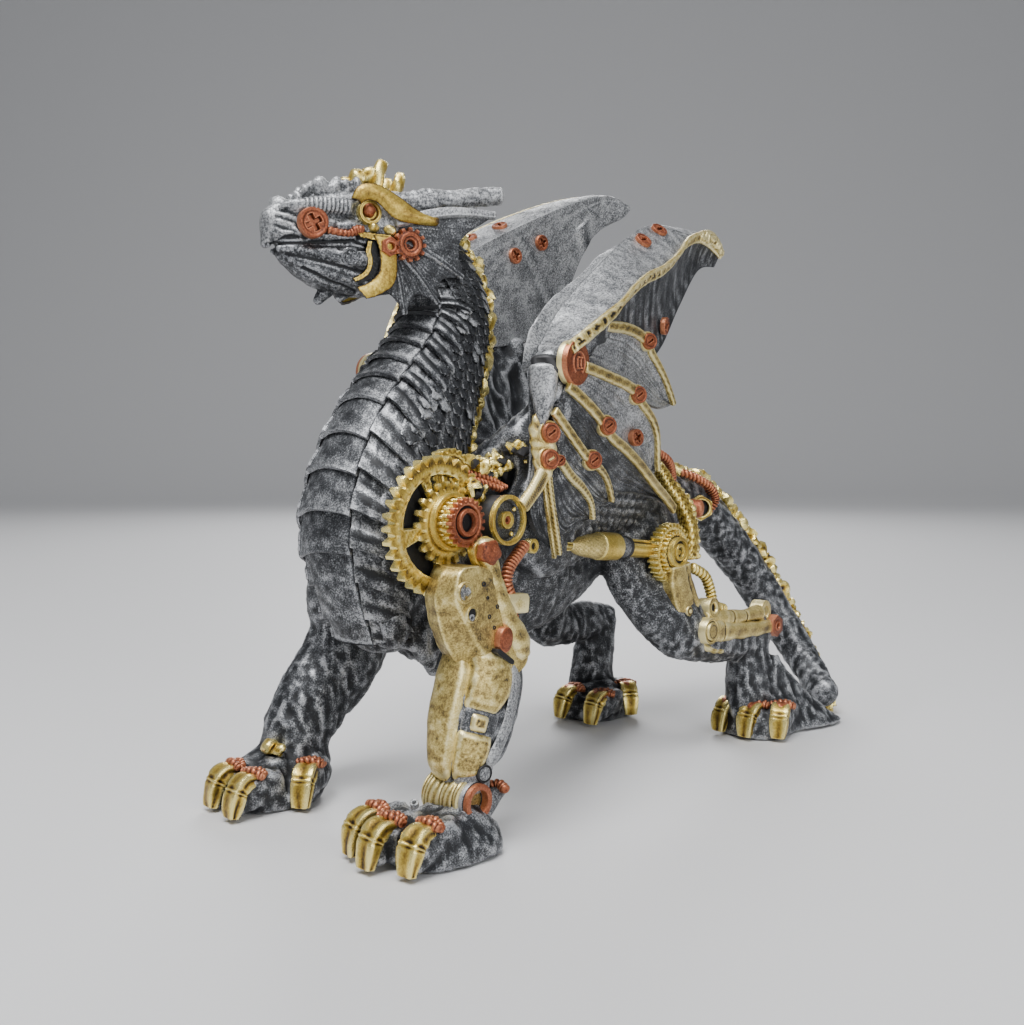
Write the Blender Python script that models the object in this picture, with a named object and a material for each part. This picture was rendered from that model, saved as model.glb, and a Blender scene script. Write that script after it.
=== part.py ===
"""Dragon statue with clockwork gears: one solid casting that stands on its four paws and tail blade.

The dragon faces -Y, its left side is +X and the floor is z = 0. The pose is laid out in units of a
190th of the figure's height, measured from the floor midway between the front paws, and then moved
so that the origin is at the centre of the casting's foot print.
"""
import math

import bmesh
import bpy
from mathutils import Matrix, Vector

FIGURE_HEIGHT = 0.190          # floor to the tip of the raised right wing
UNIT = FIGURE_HEIGHT / 190.0   # one step of the pose
FIGURE_CENTRE = Vector((4.7, 93.25, 0)) * UNIT   # middle of the outline on the floor, in the pose

SHOULDER_GEAR_R = 0.0160       # shoulder gear: root circle
SHOULDER_GEAR_TOOTH = 0.0018
SHOULDER_GEAR_TEETH = 32
SHOULDER_GEAR_DEPTH = 0.0030
SHOULDER_HUB_R = 0.0092
SHOULDER_HUB_DEPTH = 0.0030
COPPER_GEAR_R = 0.0054
COPPER_GEAR_TOOTH = 0.0008
COPPER_GEAR_DEPTH = 0.0026
COPPER_BORE_R = 0.0026
HIP_GEAR_R = 0.0088
HIP_GEAR_TOOTH = 0.0012
HIP_GEAR_TEETH = 24
HIP_GEAR_DEPTH = 0.0042
HIP_RING_R = 0.0049
HIP_RING_BORE_R = 0.0028
HIP_RING_DEPTH = 0.0016
FLANK_DISC_R = 0.0068
FLANK_DISC_RIM = 0.0012
FLANK_DISC_DEPTH = 0.0024
WRIST_DISC_R = 0.0056
WRIST_DISC_DEPTH = 0.0022
ANKLE_DRUM_R = 0.0058
ANKLE_DRUM_LENGTH = 0.0110
ANKLE_RING_BORE_R = 0.0026
ANKLE_BORE_DEPTH = 0.0020
CLAW_LENGTH = 0.0130
CLAW_WIDTH = 0.0056
CLAW_HEIGHT = 0.0125
SCUTE_STEP = 0.0016            # how far the lower edge of each throat plate stands out
RIDGE_LUMP_R = 0.0030
MEMBRANE = 0.0036              # thickness of the wing skins
RIB_R = 0.0016                 # gold wing ribs

for old in list(bpy.data.objects):
    bpy.data.objects.remove(old, do_unlink=True)

scene = bpy.context.scene
casting = bpy.data.collections.new("casting")
scene.collection.children.link(casting)
bores = bpy.data.collections.new("bores")
scene.collection.children.link(bores)


def place(x, y, z):
    """A point of the pose as a place in the model."""
    return Vector((x, y, z)) * UNIT - FIGURE_CENTRE


def paint(name, colour, roughness, metallic):
    mat = bpy.data.materials.new(name)
    mat.use_nodes = True
    shader = mat.node_tree.nodes["Principled BSDF"]
    shader.inputs["Base Color"].default_value = (*colour, 1.0)
    shader.inputs["Roughness"].default_value = roughness
    shader.inputs["Metallic"].default_value = metallic
    return mat


GUNMETAL = paint("gunmetal_paint", (0.055, 0.058, 0.063), 0.45, 0.6)


def keep(name, bm, group=casting):
    """Stores a closed mesh as one operand of the casting."""
    bmesh.ops.recalc_face_normals(bm, faces=bm.faces)
    mesh = bpy.data.meshes.new(name)
    bm.to_mesh(mesh)
    bm.free()
    mesh.materials.append(GUNMETAL)
    item = bpy.data.objects.new(name, mesh)
    item.hide_render = True
    item.display_type = "WIRE"
    group.objects.link(item)
    return item


def catmull(points, t):
    """The value at t of a smooth curve through rows of numbers, one row a unit of t apart."""
    last = len(points) - 1
    i = min(int(t), last - 1)
    f = t - i
    p0, p1 = points[max(i - 1, 0)], points[i]
    p2, p3 = points[i + 1], points[min(i + 2, last)]
    return [0.5 * (2 * b + (c - a) * f + (2 * a - 5 * b + 4 * c - d) * f * f
                   + (3 * b - a - 3 * c + d) * f ** 3)
            for a, b, c, d in zip(p0, p1, p2, p3)]


def bridge(bm, rings):
    """Joins closed rings of equal count into one skin and caps its two ends."""
    for low, high in zip(rings, rings[1:]):
        n = len(low)
        for i in range(n):
            bm.faces.new((low[i], low[(i + 1) % n], high[(i + 1) % n], high[i]))
    bm.faces.new(rings[0])
    bm.faces.new(rings[-1])


def sweep(name, stations, sides=12, steps=2, square=2.0, side=(1, 0, 0), step_out=None, stops=None):
    """A limb: rings along a smooth path. A station is x, y, z, half width and half depth. The rings stand at
    even steps, or at the given stops."""
    bm = bmesh.new()
    rings = []
    count = len(stops) - 1 if stops else (len(stations) - 1) * steps
    rows = [catmull(stations, stops[k] if stops else k / steps) for k in range(count + 1)]
    ends = [(k, 1.0) for k in range(count + 1)]
    if sides > 8:
        ends = [(0, 0.55)] + ends + [(count, 0.55)]
    for k, size in ends:
        here = Vector(rows[k][:3])
        ahead = Vector(rows[min(k + 1, count)][:3])
        back = Vector(rows[max(k - 1, 0)][:3])
        run = (ahead - back).normalized()
        across = Vector(side)
        across = (across - run * across.dot(run)).normalized()
        depth = run.cross(across)
        a, b = rows[k][3], rows[k][4]
        if size < 1.0:
            here = here + run * (0.45 * min(a, b) * (1 if k else -1))
        ring = []
        for j in range(sides):
            angle = 2 * math.pi * j / sides
            c, s = math.cos(angle), math.sin(angle)
            reach = (abs(c) ** square + abs(s) ** square) ** (-1 / square)
            out = size * reach
            if step_out and size == 1.0:
                out *= step_out(k, angle)
            ring.append(bm.verts.new(place(*(here + across * (a * c * out) + depth * (b * s * out)))))
        rings.append(ring)
    bridge(bm, rings)
    return keep(name, bm)


def loft(name, sections):
    """A skin through closed sections with the same number of pose points."""
    bm = bmesh.new()
    bridge(bm, [[bm.verts.new(place(*p)) for p in section] for section in sections])
    return keep(name, bm)


def slab(name, outline, thickness):
    """A plate with the given outline, thickened to both sides of its mean plane."""
    points = [Vector(p) for p in outline]
    normal = Vector((0, 0, 0))
    for p, q in zip(points, points[1:] + points[:1]):
        normal += p.cross(q)
    normal.normalize()
    bm = bmesh.new()
    half = normal * (thickness / UNIT / 2)
    bridge(bm, [[bm.verts.new(place(*(p + half * s))) for p in points] for s in (-1, 1)])
    return keep(name, bm)


def axis_frame(centre, axis):
    turn = Vector((0, 0, 1)).rotation_difference(Vector(axis).normalized()).to_matrix().to_4x4()
    return Matrix.Translation(place(*centre)) @ turn


def wheel(name, centre, axis, radius, depth, tooth=0.0, teeth=0, sides=20, group=casting, taper=1.0,
          flat=False):
    """A disc, or a toothed wheel, that stands out from its centre along its axis."""
    bm = bmesh.new()
    outline = []
    if teeth:
        for i in range(teeth):
            for share, out in ((0.05, 0), (0.35, 1), (0.65, 1), (0.95, 0)) if flat else ((0.2, 0), (0.7, 1)):
                outline.append((radius + tooth * out, 2 * math.pi * (i + share) / teeth))
    else:
        outline = [(radius, 2 * math.pi * i / sides) for i in range(sides)]
    frame = axis_frame(centre, axis)
    rings = []
    for z, size in ((0.0, 1.0), (depth, taper)):
        rings.append([bm.verts.new(frame @ Vector((size * r * math.cos(a), size * r * math.sin(a), z)))
                      for r, a in outline])
    bridge(bm, rings)
    return keep(name, bm, group)


def spike(name, base, tip, width, depth, sides=5, blunt=0.3, side=(1, 0, 0)):
    """A horn, tooth or thorn from its root to its blunt tip."""
    a, b = Vector(base), Vector(tip)
    run = (b - a).normalized()
    across = Vector(side)
    across = (across - run * across.dot(run)).normalized()
    rise = run.cross(across)
    bm = bmesh.new()
    rings = []
    for share, size in ((0.0, 1.0), (0.55, 0.8), (1.0, blunt)):
        here = a.lerp(b, share)
        rings.append([bm.verts.new(place(*(here + across * (width * size * math.cos(2 * math.pi * i / sides))
                                           + rise * (depth * size * math.sin(2 * math.pi * i / sides)))))
                      for i in range(sides)])
    bridge(bm, rings)
    return keep(name, bm)


def lump(name, centre, size, stretch=(1, 1, 1), turn=0.0):
    """One nugget of the gold ridge."""
    bm = bmesh.new()
    bmesh.ops.create_icosphere(bm, subdivisions=1, radius=1.0)
    scale = Matrix.Diagonal((*[size * s for s in stretch], 1.0))
    bmesh.ops.transform(bm, verts=bm.verts,
                        matrix=Matrix.Translation(place(*centre)) @ Matrix.Rotation(turn, 4, "X") @ scale)
    return keep(name, bm)


def bar(name, start, end, width, depth, side=(1, 0, 0)):
    """A straight square bar between two pose points."""
    return sweep(name, [(*start, width, depth), (*Vector(start).lerp(Vector(end), 0.5), width, depth),
                        (*end, width, depth)], sides=8, steps=1, square=5.0, side=side)


# Body: chest, belly, waist and rump
sweep("torso", [(1, 4, 70, 11, 14), (1, 14, 72, 18, 24), (0, 30, 71, 22, 32), (0, 48, 71, 23, 32),
                (0, 66, 71, 23, 31), (0, 84, 73, 21, 27), (0, 102, 76, 19, 19), (0, 120, 77, 20, 17),
                (0, 136, 79, 17, 14), (0, 150, 80, 12, 11)], sides=12, steps=1)

# Neck with its overlapping throat plates; the lower edge of every plate stands out
NECK = [(1, 16, 50, 14, 13), (1, 13, 66, 18, 18), (0, 13.5, 80, 20.5, 20.5), (0, 19, 98, 18.5, 18.5),
        (0, 28, 114, 15.6, 15.6), (1, 35, 128, 12.6, 12.6), (1, 37.5, 140, 11, 11), (0, 32, 151, 9.8, 9.8),
        (-2, 22, 156, 9, 9)]


PLATE_EDGES = [0.05, 0.52, 0.98, 1.46, 1.98, 2.48, 2.92, 3.36, 3.78, 4.2, 4.62, 5.05, 5.5, 6.0, 6.5, 7.0]
NECK_STOPS = [0.0] + [edge + gap for edge in PLATE_EDGES for gap in (0.0, 0.06)] + [7.5, 8.0]


def throat(k, angle):
    """The share by which a ring is wider in front: wide at the lower edge of a plate, narrow just under it."""
    front = max(0.0, -math.sin(angle))
    up = 1.0 if k % 2 == 0 and 0 < k < len(NECK_STOPS) - 2 else 0.0
    return 1.0 + up * (SCUTE_STEP / UNIT) / 16.0 * min(1.0, 2.2 * front)


sweep("neck", NECK, sides=14, step_out=throat, stops=NECK_STOPS)

# Tail: down from the rump and round to the left hind paw
TAIL = [(0, 134, 80, 14, 13), (2, 150, 80, 10.5, 10.5), (3, 166, 77, 9.5, 9), (6, 180, 66, 8.8, 8.2),
        (11, 193, 51, 8, 7.5), (17, 201, 36, 7.2, 6.8), (26, 204, 22, 6.4, 6), (36, 200, 12, 5.8, 5.6),
        (44, 193, 7.5, 5.4, 5.4)]
sweep("tail", TAIL, sides=9, steps=2)
loft("tail_blade", [[(out - thick, y, 0), (out, y, 0), (lean, y, top), (lean - thick * 0.7, y, top)]
                    for y, out, lean, top, thick in ((152, 44, 43.5, 5, 4), (156, 47, 43, 17, 5),
                                                     (160.5, 49, 42.5, 27, 5), (164, 51, 43.5, 23, 5),
                                                     (171, 53.5, 46.5, 15, 6), (179, 56, 50.5, 7.5, 7),
                                                     (188, 55.5, 54, 1.5, 7))])

# Front legs: the left one is a jointed mechanism, the right one is flesh
sweep("left_shoulder", [(14, 26, 80, 15, 16), (24, 20, 74, 13, 17), (31, 18, 64, 10, 14),
                        (36, 18, 54, 9.5, 13), (38, 17, 46, 9, 12)], sides=10, steps=1)
sweep("left_forearm", [(38, 16, 48, 8, 11), (38, 12.5, 38, 8.6, 12), (38, 8.5, 28, 8.2, 11.5),
                       (39, 5, 18, 7.4, 10), (40, 4, 10, 7.4, 9.5)], sides=10, steps=1, square=2.6)
slab("left_elbow", [(38, 3, 56), (38, 27, 52), (38, 28, 46), (38, 22, 41), (38, 6, 44)], 0.015)
sweep("right_shoulder", [(-11, 30, 80, 14, 16), (-19, 27, 70, 13, 17), (-25.5, 25, 58, 11.5, 15),
                         (-27, 26, 46, 11, 13), (-28, 22, 36, 11, 12.5), (-29, 13, 26, 10, 11.5),
                         (-29, 6, 16, 10, 10.5), (-28, 5, 8, 10, 11)], sides=10, steps=1)
sweep("right_elbow", [(-28, 26, 46, 8, 8), (-28, 35, 37, 5, 4)], sides=8, steps=1)

# Hind legs
sweep("left_thigh", [(10, 110, 80, 14, 15), (17.5, 108, 72, 12.5, 19), (23.5, 107, 60, 9, 18.5),
                     (29.5, 110, 48, 8.5, 14), (33, 116, 38, 8.5, 9.5)], sides=10, steps=1)
sweep("left_shin", [(32, 112, 39, 7, 8), (33, 126, 36, 7, 8), (34, 142, 34, 6.8, 8),
                    (34, 157, 33, 6.5, 7.5)], sides=10, steps=1)
sweep("left_hock", [(34, 158, 36, 6.5, 7), (34, 155, 27, 7, 8.5), (35, 153, 18, 7.5, 9.5),
                    (36, 153, 8, 8.5, 11)], sides=10, steps=1)
sweep("right_thigh", [(-10, 110, 78, 14, 15), (-19, 110, 68, 13, 18), (-25, 111, 55, 11.5, 16),
                      (-28, 116, 43, 9.5, 12), (-28, 121, 34, 8, 9)], sides=10, steps=1)
sweep("right_shin", [(-28, 117, 35, 7, 8), (-28, 130, 34, 7, 8), (-28, 142, 34, 6.8, 7.5),
                     (-28, 151, 32, 6.5, 7)], sides=10, steps=1)
sweep("right_hock", [(-28, 150, 36, 6.5, 7), (-28, 149, 27, 7, 8), (-28, 146, 18, 7.5, 9),
                     (-27, 144, 8, 8.5, 11)], sides=10, steps=1)


def claw(name, tip_x, tip_y, heading):
    """A chisel-shaped claw that stands on the floor; its heading is measured from -Y towards +X."""
    run = Vector((math.sin(heading), -math.cos(heading), 0))
    across = Vector((math.cos(heading), math.sin(heading), 0))
    long, wide, high = CLAW_LENGTH / UNIT, CLAW_WIDTH / UNIT, CLAW_HEIGHT / UNIT
    outline = [(0.0, 0.0), (0.02, 0.25), (-0.22, 0.74), (-0.50, 1.0), (-1.0, 0.95), (-1.0, 0.0)]
    bm = bmesh.new()
    tip = Vector((tip_x, tip_y, 0))
    rings = []
    for share, trim in ((-0.5, 0.94), (0.5, 0.94)):
        rings.append([bm.verts.new(place(*(tip + run * (long * (l if l > -0.9 else -1.0) * 1.0)
                                           + across * (wide * share) + Vector((0, 0, high * h * trim)))))
                      for l, h in outline])
    bridge(bm, rings)
    return keep(name, bm)


def paw(name, centre, heading, length, width, height):
    """The dark pad of a paw: a low loaf with a flat sole."""
    run = Vector((math.sin(heading), -math.cos(heading), 0))
    across = Vector((math.cos(heading), math.sin(heading), 0))
    bm = bmesh.new()
    middle = Vector((*centre, 0))
    rings = []
    for level, size in ((0.0, 0.96), (0.22, 1.0), (0.52, 0.85), (0.8, 0.64), (1.0, 0.4)):
        ring = []
        for i in range(12):
            angle = 2 * math.pi * i / 12
            c, s = math.cos(angle), math.sin(angle)
            reach = (abs(c) ** 2.8 + abs(s) ** 2.8) ** (-1 / 2.8)
            ring.append(bm.verts.new(place(*(middle + run * (length / 2 * size * reach * c)
                                             + across * (width / 2 * size * reach * s)
                                             + Vector((0, 0, height * level * (1 - 0.12 * c * level)))))))
        rings.append(ring)
    bridge(bm, rings)
    return keep(name, bm)


paw("paw_fl", (40, -2.5), math.radians(-8), 31, 24, 15)
paw("paw_fr", (-28, -4), math.radians(-2), 29, 26, 14)
paw("paw_rl", (38, 155), math.radians(-5), 25, 24, 13)
paw("paw_rr", (-21, 137), math.radians(-5), 25, 26, 12)
CLAWS = [("fl", (25.5, -22), -0.25), ("fl", (35.5, -25.5), -0.12), ("fl", (46.5, -22.5), 0.0),
         ("fr", (-32, -23), -0.2), ("fr", (-19.5, -25), -0.05), ("fr", (-11.5, -7), 0.5),
         ("rl", (29.5, 141.5), -0.2), ("rl", (40.5, 140.5), -0.05), ("rl", (50.5, 146), 0.3),
         ("rr", (-24, 120), -0.2), ("rr", (-9.5, 119.5), -0.05), ("rr", (-6, 141), 0.9)]
for i, (foot, (tip_x, tip_y), turn) in enumerate(CLAWS):
    claw(f"claw_{foot}_{i}", tip_x, tip_y, turn)
spike("spur_fl", (43, 6, 8), (43.5, 16, 13), 2.8, 3.2)
spike("dewclaw_fr", (-31, 0, 12), (-37, -5, 17), 2.6, 2.6)

# Head, laid out forwards, to its left and upwards from the base of the skull
HEAD_TURN = math.radians(20)
HEAD_BASE = Vector((-1, 24, 156))


def head(forward, left, up):
    run = Vector((-math.sin(HEAD_TURN), -math.cos(HEAD_TURN), 0))
    aside = Vector((math.cos(HEAD_TURN), -math.sin(HEAD_TURN), 0))
    return tuple(HEAD_BASE + run * forward + aside * left + Vector((0, 0, up)))


HEAD_SIDE = head(0, 1, 0)
head_side = tuple(Vector(HEAD_SIDE) - HEAD_BASE)


def muzzle(name, rows, sides=10, square=2.6):
    """A head form from rows of forward, middle height, half width and half height."""
    return sweep(name, [(*head(f, 0, up), wide, high) for f, up, wide, high in rows],
                 sides=sides, steps=1, square=square, side=head_side)


muzzle("skull", [(-5, 0.5, 8, 11), (4, 2.5, 9.6, 12.5), (12, 4.5, 9.2, 12), (19, 5.2, 8.2, 9.4),
                 (27, 4.6, 7.0, 7.2), (34, 3.8, 6.0, 6.4), (38.5, 3.0, 4.8, 4.8)])
muzzle("jaw", [(4, -5, 8.4, 8), (12, -7, 8.2, 7.4), (19, -8.2, 7.4, 6.2), (26, -7.4, 6.0, 5.0),
               (32, -5.2, 4.6, 3.4), (35, -3.6, 3.4, 2.0)])
spike("nose", head(36, 0, 6), head(40, 0, 9), 3.6, 3.0, side=head_side)
spike("lip", head(37, 0, 0), head(40.5, 0, -3.4), 4.0, 2.4, side=head_side)
spike("chin", head(22, 0, -12), head(26, 0, -17), 3.2, 2.4, side=head_side)
for s in (-1, 1):
    tag = "lr"[s < 0]
    spike(f"muzzle_ridge_{tag}", head(18, 5.8 * s, 7.2), head(33, 5.2 * s, 7.6), 2.2, 2.6, 6, 0.8)
    for i in range(2):
        lump(f"brow_lump_{tag}{i}", head(20.5 + 4.6 * i, 2.6 * s, 13.4 + 0.4 * i - 0.5 * i * i),
             0.0026, (1, 1, 0.9))
    sweep(f"horn_{tag}", [(*head(5, 6.4 * s, 11), 3.6, 3.8), (*head(-3, 7.2 * s, 13), 3.4, 3.6),
                          (*head(-14, 8 * s, 14.2), 3.1, 3.2), (*head(-25, 8.6 * s, 15.2), 3.2, 3.2)],
          sides=8, steps=1)
    # Ear fin, a scalloped sail behind the cheek
    slab(f"ear_{tag}", [head(5, 9 * s, 5.5), head(-8, 10.5 * s, 8.6), head(-21.5, 12.5 * s, 8.6),
                        head(-9.5, 10.8 * s, -1.5), head(-12.5, 11 * s, -8.8),
                        head(-6, 10.2 * s, -10.5), head(-5.6, 9.8 * s, -16),
                        head(-0.5, 9.2 * s, -14.4), head(3.7, 8.6 * s, -19.3),
                        head(8, 8.6 * s, -12), head(8.5, 8.8 * s, -2)], 0.0030)
    sweep(f"ear_rib_{tag}", [(*head(6, 9.6 * s, 5.0), 1.5, 1.5), (*head(-8, 11.2 * s, 8.4), 1.5, 1.5),
                             (*head(-21.5, 13 * s, 8.2), 1.3, 1.3)], sides=4, steps=1)
    # Curved eyelid plate
    loft(f"eyelid_{tag}", [[head(f, (7.4 + d) * s, u) for f, u in
                            ((17.5, 9.0), (16.5, 12.6), (12.5, 13.2), (8, 11.4), (0, 6.2), (6, 5.8), (11, 9.2))]
                           for d in (-2.6, 3.0)])
    wheel(f"eye_{tag}", head(13.3, 7.2 * s, 6.6), Vector(head_side) * s, 0.0030, 0.0034, sides=10, taper=0.7)
    # Jaw bracket round the jaw pivot
    loft(f"bracket_{tag}", [[head(f, (7.6 + d) * s, u) for f, u in
                             ((17.5, 1.4), (8, 1.8), (7.2, -11.8), (13.6, -15.6), (18, -13.6), (12.8, -9.5),
                              (12.4, -2.6))] for d in (-2.4, 2.2)])
    wheel(f"jaw_pivot_{tag}", head(19.4, 6.0 * s, -5.4), Vector(head_side) * s, 0.0030, 0.0026, sides=8)
    wheel(f"cheek_gear_{tag}", head(3.1, 9.0 * s, -1.1), Vector(head_side) * s, 0.0032, 0.0034, 0.0009, 11)
    wheel(f"cheek_nut_{tag}", head(8.9, 8.6 * s, -1.5), Vector(head_side) * s, 0.0026, 0.0030, sides=6)
    wheel(f"snout_screw_{tag}", head(28.9, 5.6 * s, 3.2), Vector(head_side) * s, 0.0040, 0.0024, sides=10)
    sweep(f"snout_rod_{tag}", [(*head(26, 7.6 * s, 2.6), 1.1, 1.1), (*head(20, 8.4 * s, 1.4), 1.1, 1.1),
                               (*head(15.5, 8.8 * s, 2.6), 1.4, 1.4)], sides=4, steps=1)
    spike(f"crest_back_{tag}", head(3.2, 4.6 * s, 12), head(2.0, 4.2 * s, 19), 2.3, 2.0)
for i, (f, u, size) in enumerate(((17, 16.2, 2.0), (13.5, 17.8, 2.4), (10, 18.6, 2.0))):
    lump(f"crest_{i}", head(f, 0, u), size * UNIT, (1.5, 1, 1))
spike("crest_horn", head(8, 0, 14), head(6, 0, 23), 2.6, 2.4)

# Nuggets of the gold ridge down the back of the neck and along the tail
for i in range(9):
    row = catmull(NECK, 2.6 + 3.9 * i / 8)
    nxt = catmull(NECK, 2.6 + 3.9 * i / 8 + 0.05)
    run = (Vector(nxt[:3]) - Vector(row[:3])).normalized()
    back = Vector((0, run.z, -run.y)) * (row[4] + 0.6)
    lump(f"ridge_neck_{i}", Vector(row[:3]) + back, RIDGE_LUMP_R, (1.15, 1.45 + 0.2 * (i % 2), 0.95), 0.4)
for i in range(15):
    t = 0.9 + 7.0 * i / 14
    row = catmull(TAIL, t)
    nxt = catmull(TAIL, t + 0.05)
    run = (Vector(nxt[:3]) - Vector(row[:3])).normalized()
    out = Vector((0.25, 0.9, 0.45))
    out = (out - run * out.dot(run)).normalized() * (row[4] + 0.2)
    lump(f"ridge_tail_{i}", Vector(row[:3]) + out, RIDGE_LUMP_R * (0.92 - 0.008 * i),
         (0.95, 1.45 + 0.15 * (i % 2), 1.0), 0.5)


def mirror(points, side, lift=None):
    return [(x * side, y, z) for x, y, z in points]


# Wings. Each upper wing is a wedge: a pale top panel, an outer face with the gold ribs and an inner face
# Rows run from the wrist to the tip: gold edge, inner edge of the panel, lower edge, inner lower edge
LEFT_WING = [((45.5, 40, 127), (31, 37, 129), (31, 42, 117), (41, 44, 116)),
             ((46, 58, 137.5), (33, 45, 145), (28, 60, 121), (40, 67, 118)),
             ((42, 77, 148), (30, 65, 157), (27, 80, 126), (38, 84, 124)),
             ((36, 100, 155.5), (26, 90, 164.6), (26, 96, 134), (34, 99, 131)),
             ((29, 122, 166.5), (21, 110, 170.5), (23, 112, 152), (28, 116, 147)),
             ((24, 142, 170.0), (19, 136, 171.5), (20, 130, 165), (23, 132, 162)),
             ((20.5, 155, 166.5), (18.5, 153, 167.0), (18.5, 150, 163.5), (20.0, 151, 163))]
RIGHT_WING = [((-34, 47, 129), (-23, 43, 131), (-25, 46, 118), (-34, 48, 117)),
              ((-43, 66, 152), (-31, 58, 150), (-27, 62, 126), (-40, 66, 124)),
              ((-43, 90, 170), (-30, 80, 163), (-27, 78, 132), (-40, 82, 130)),
              ((-39, 110, 180), (-28, 102, 174), (-28, 98, 134), (-37, 102, 132)),
              ((-33, 131, 188), (-25, 125, 184), (-28, 121, 142), (-34, 124, 142)),
              ((-26, 147, 191), (-21, 144, 190), (-24, 138, 173), (-27, 140, 173)),
              ((-19.5, 156, 187.5), (-18, 155, 187), (-19.5, 152, 183), (-20.5, 153, 183))]


def wing(name, rows):
    """The wedge of the upper wing, smoothly stepped along its rows."""
    flat = [[v for p in row for v in p] for row in rows]
    sections = []
    for k in range(2 * (len(rows) - 1) + 1):
        row = catmull(flat, k / 2)
        sections.append([tuple(row[3 * i:3 * i + 3]) for i in range(4)])
    return loft(name, sections)


wing("left_wing", LEFT_WING)
wing("right_wing", RIGHT_WING)
# The lobes of skin under the wedge, one behind the other
slab("left_lobe_1", [(40, 50, 124), (40, 72, 132), (38, 92, 142), (35, 101, 138), (37, 96, 128),
                     (37, 101, 114), (39, 95, 108), (40, 84, 112), (41, 60, 114)], MEMBRANE)
slab("left_lobe_2", [(41, 46, 118), (43, 72, 122), (41, 82, 117), (38, 92, 104), (36, 94, 96),
                     (37, 90, 88), (41, 70, 92), (43, 52, 100)], MEMBRANE)
slab("left_lobe_3", [(42, 44, 112), (43, 66, 106), (38, 88, 92), (32, 108, 82), (28, 122, 76),
                     (30, 112, 70), (36, 84, 76), (42, 54, 88)], MEMBRANE)
slab("right_lobe_1", [(-40, 50, 124), (-40, 72, 134), (-38, 92, 146), (-36, 108, 140), (-37, 108, 122),
                      (-39, 95, 108), (-40, 84, 112), (-41, 60, 114)], MEMBRANE)
slab("right_lobe_2", [(-35, 46, 118), (-40, 72, 122), (-38, 92, 104), (-32, 108, 84), (-28, 121, 77),
                      (-30, 112, 71), (-35, 84, 76), (-37, 54, 90)], MEMBRANE)
for s in (-1, 1):
    tag = "lr"[s < 0]
    near = 1.0 if s > 0 else 0.78      # the right arm is held closer to the neck
    # Arm from the shoulder blade to the wrist, and the drape of skin over the flank
    sweep(f"wing_arm_{tag}", [(13 * s, 38, 86, 9, 10), (27 * s * near, 39, 98, 8, 9),
                              (36 * s * near, 41, 107, 6.5, 7), (38 * s * near, 43, 116, 6, 6.5),
                              (38.5 * s * near, 43, 124, 6.5, 7)], sides=8, steps=1)
    loft(f"drape_{tag}", [[(41 * s * near, 38, 106), (18 * s, 36, 100), (16 * s, 34, 76),
                           (37 * s * near, 27, 78)],
                          [(42.6 * s * near, 46, 103.3), (18 * s, 46, 104), (16 * s, 48, 66), (33 * s, 45, 63)],
                          [(40.2 * s * near, 62.6, 99.1), (18 * s, 60, 104), (16 * s, 66, 68), (30 * s, 66, 66)],
                          [(36 * s, 84, 92), (17 * s, 80, 98), (15 * s, 86, 72), (28 * s, 86, 72)],
                          [(29 * s, 110, 82), (16 * s, 106, 90), (14 * s, 106, 74), (25 * s, 106, 75)]])
    # Inner wall of each wing, between its upper wedge and the back
    loft(f"web_{tag}", [[(33 * s * near, 45, 122), (37 * s * near, 46, 122), (26 * s, 46, 92), (18 * s, 46, 92)],
                        [(31 * s * near, 72, 130), (36 * s * near, 74, 130), (25 * s, 74, 90), (16 * s, 72, 90)],
                        [(28 * s, 97, 134), (34 * s, 99, 133), (23 * s, 98, 86), (15 * s, 96, 86)],
                        [(26 * s, 116, 138), (31 * s, 118, 137), (21 * s, 118, 84), (14 * s, 116, 84)]])
    # Gold ribs on the outer face; the right wing, which is turned away, is plainer
    for i, path in enumerate((((43, 58, 133), (43, 78, 131), (40, 90, 123), (38, 99, 114)),
                              ((45, 46, 122), (45, 73, 114.5), (41, 86, 105), (36.5, 95, 97)),
                              ((44, 44, 114), (45, 66, 104), (38, 92, 92), (29, 121, 80)),
                              ((43, 40, 108), (43.5, 60, 92), (38, 74, 83), (33, 82, 77)),
                              ((42.5, 39, 98), (41, 50, 87), (36, 64, 76)))[:5 if s > 0 else 2]):
        sweep(f"rib_{tag}{i}", [(x * s * (near if y < 50 else 1.0), y, z, RIB_R / UNIT, RIB_R / UNIT)
                                for x, y, z in path], sides=4, steps=1)
    wheel(f"wrist_disc_{tag}", (44 * s * near, 42, 122.5), (s, 0, 0), WRIST_DISC_R, WRIST_DISC_DEPTH, sides=14)
for i, (x, y, z) in enumerate(((43.5, 80, 130.5), (44.5, 73, 114), (44, 66, 103), (43, 59.5, 92.5),
                               (41, 38, 99.5), (39.5, 39, 93.5))):
    wheel(f"knuckle_{i}", (x, y, z), (1, 0, 0), 0.0030, 0.0022, sides=7)

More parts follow.
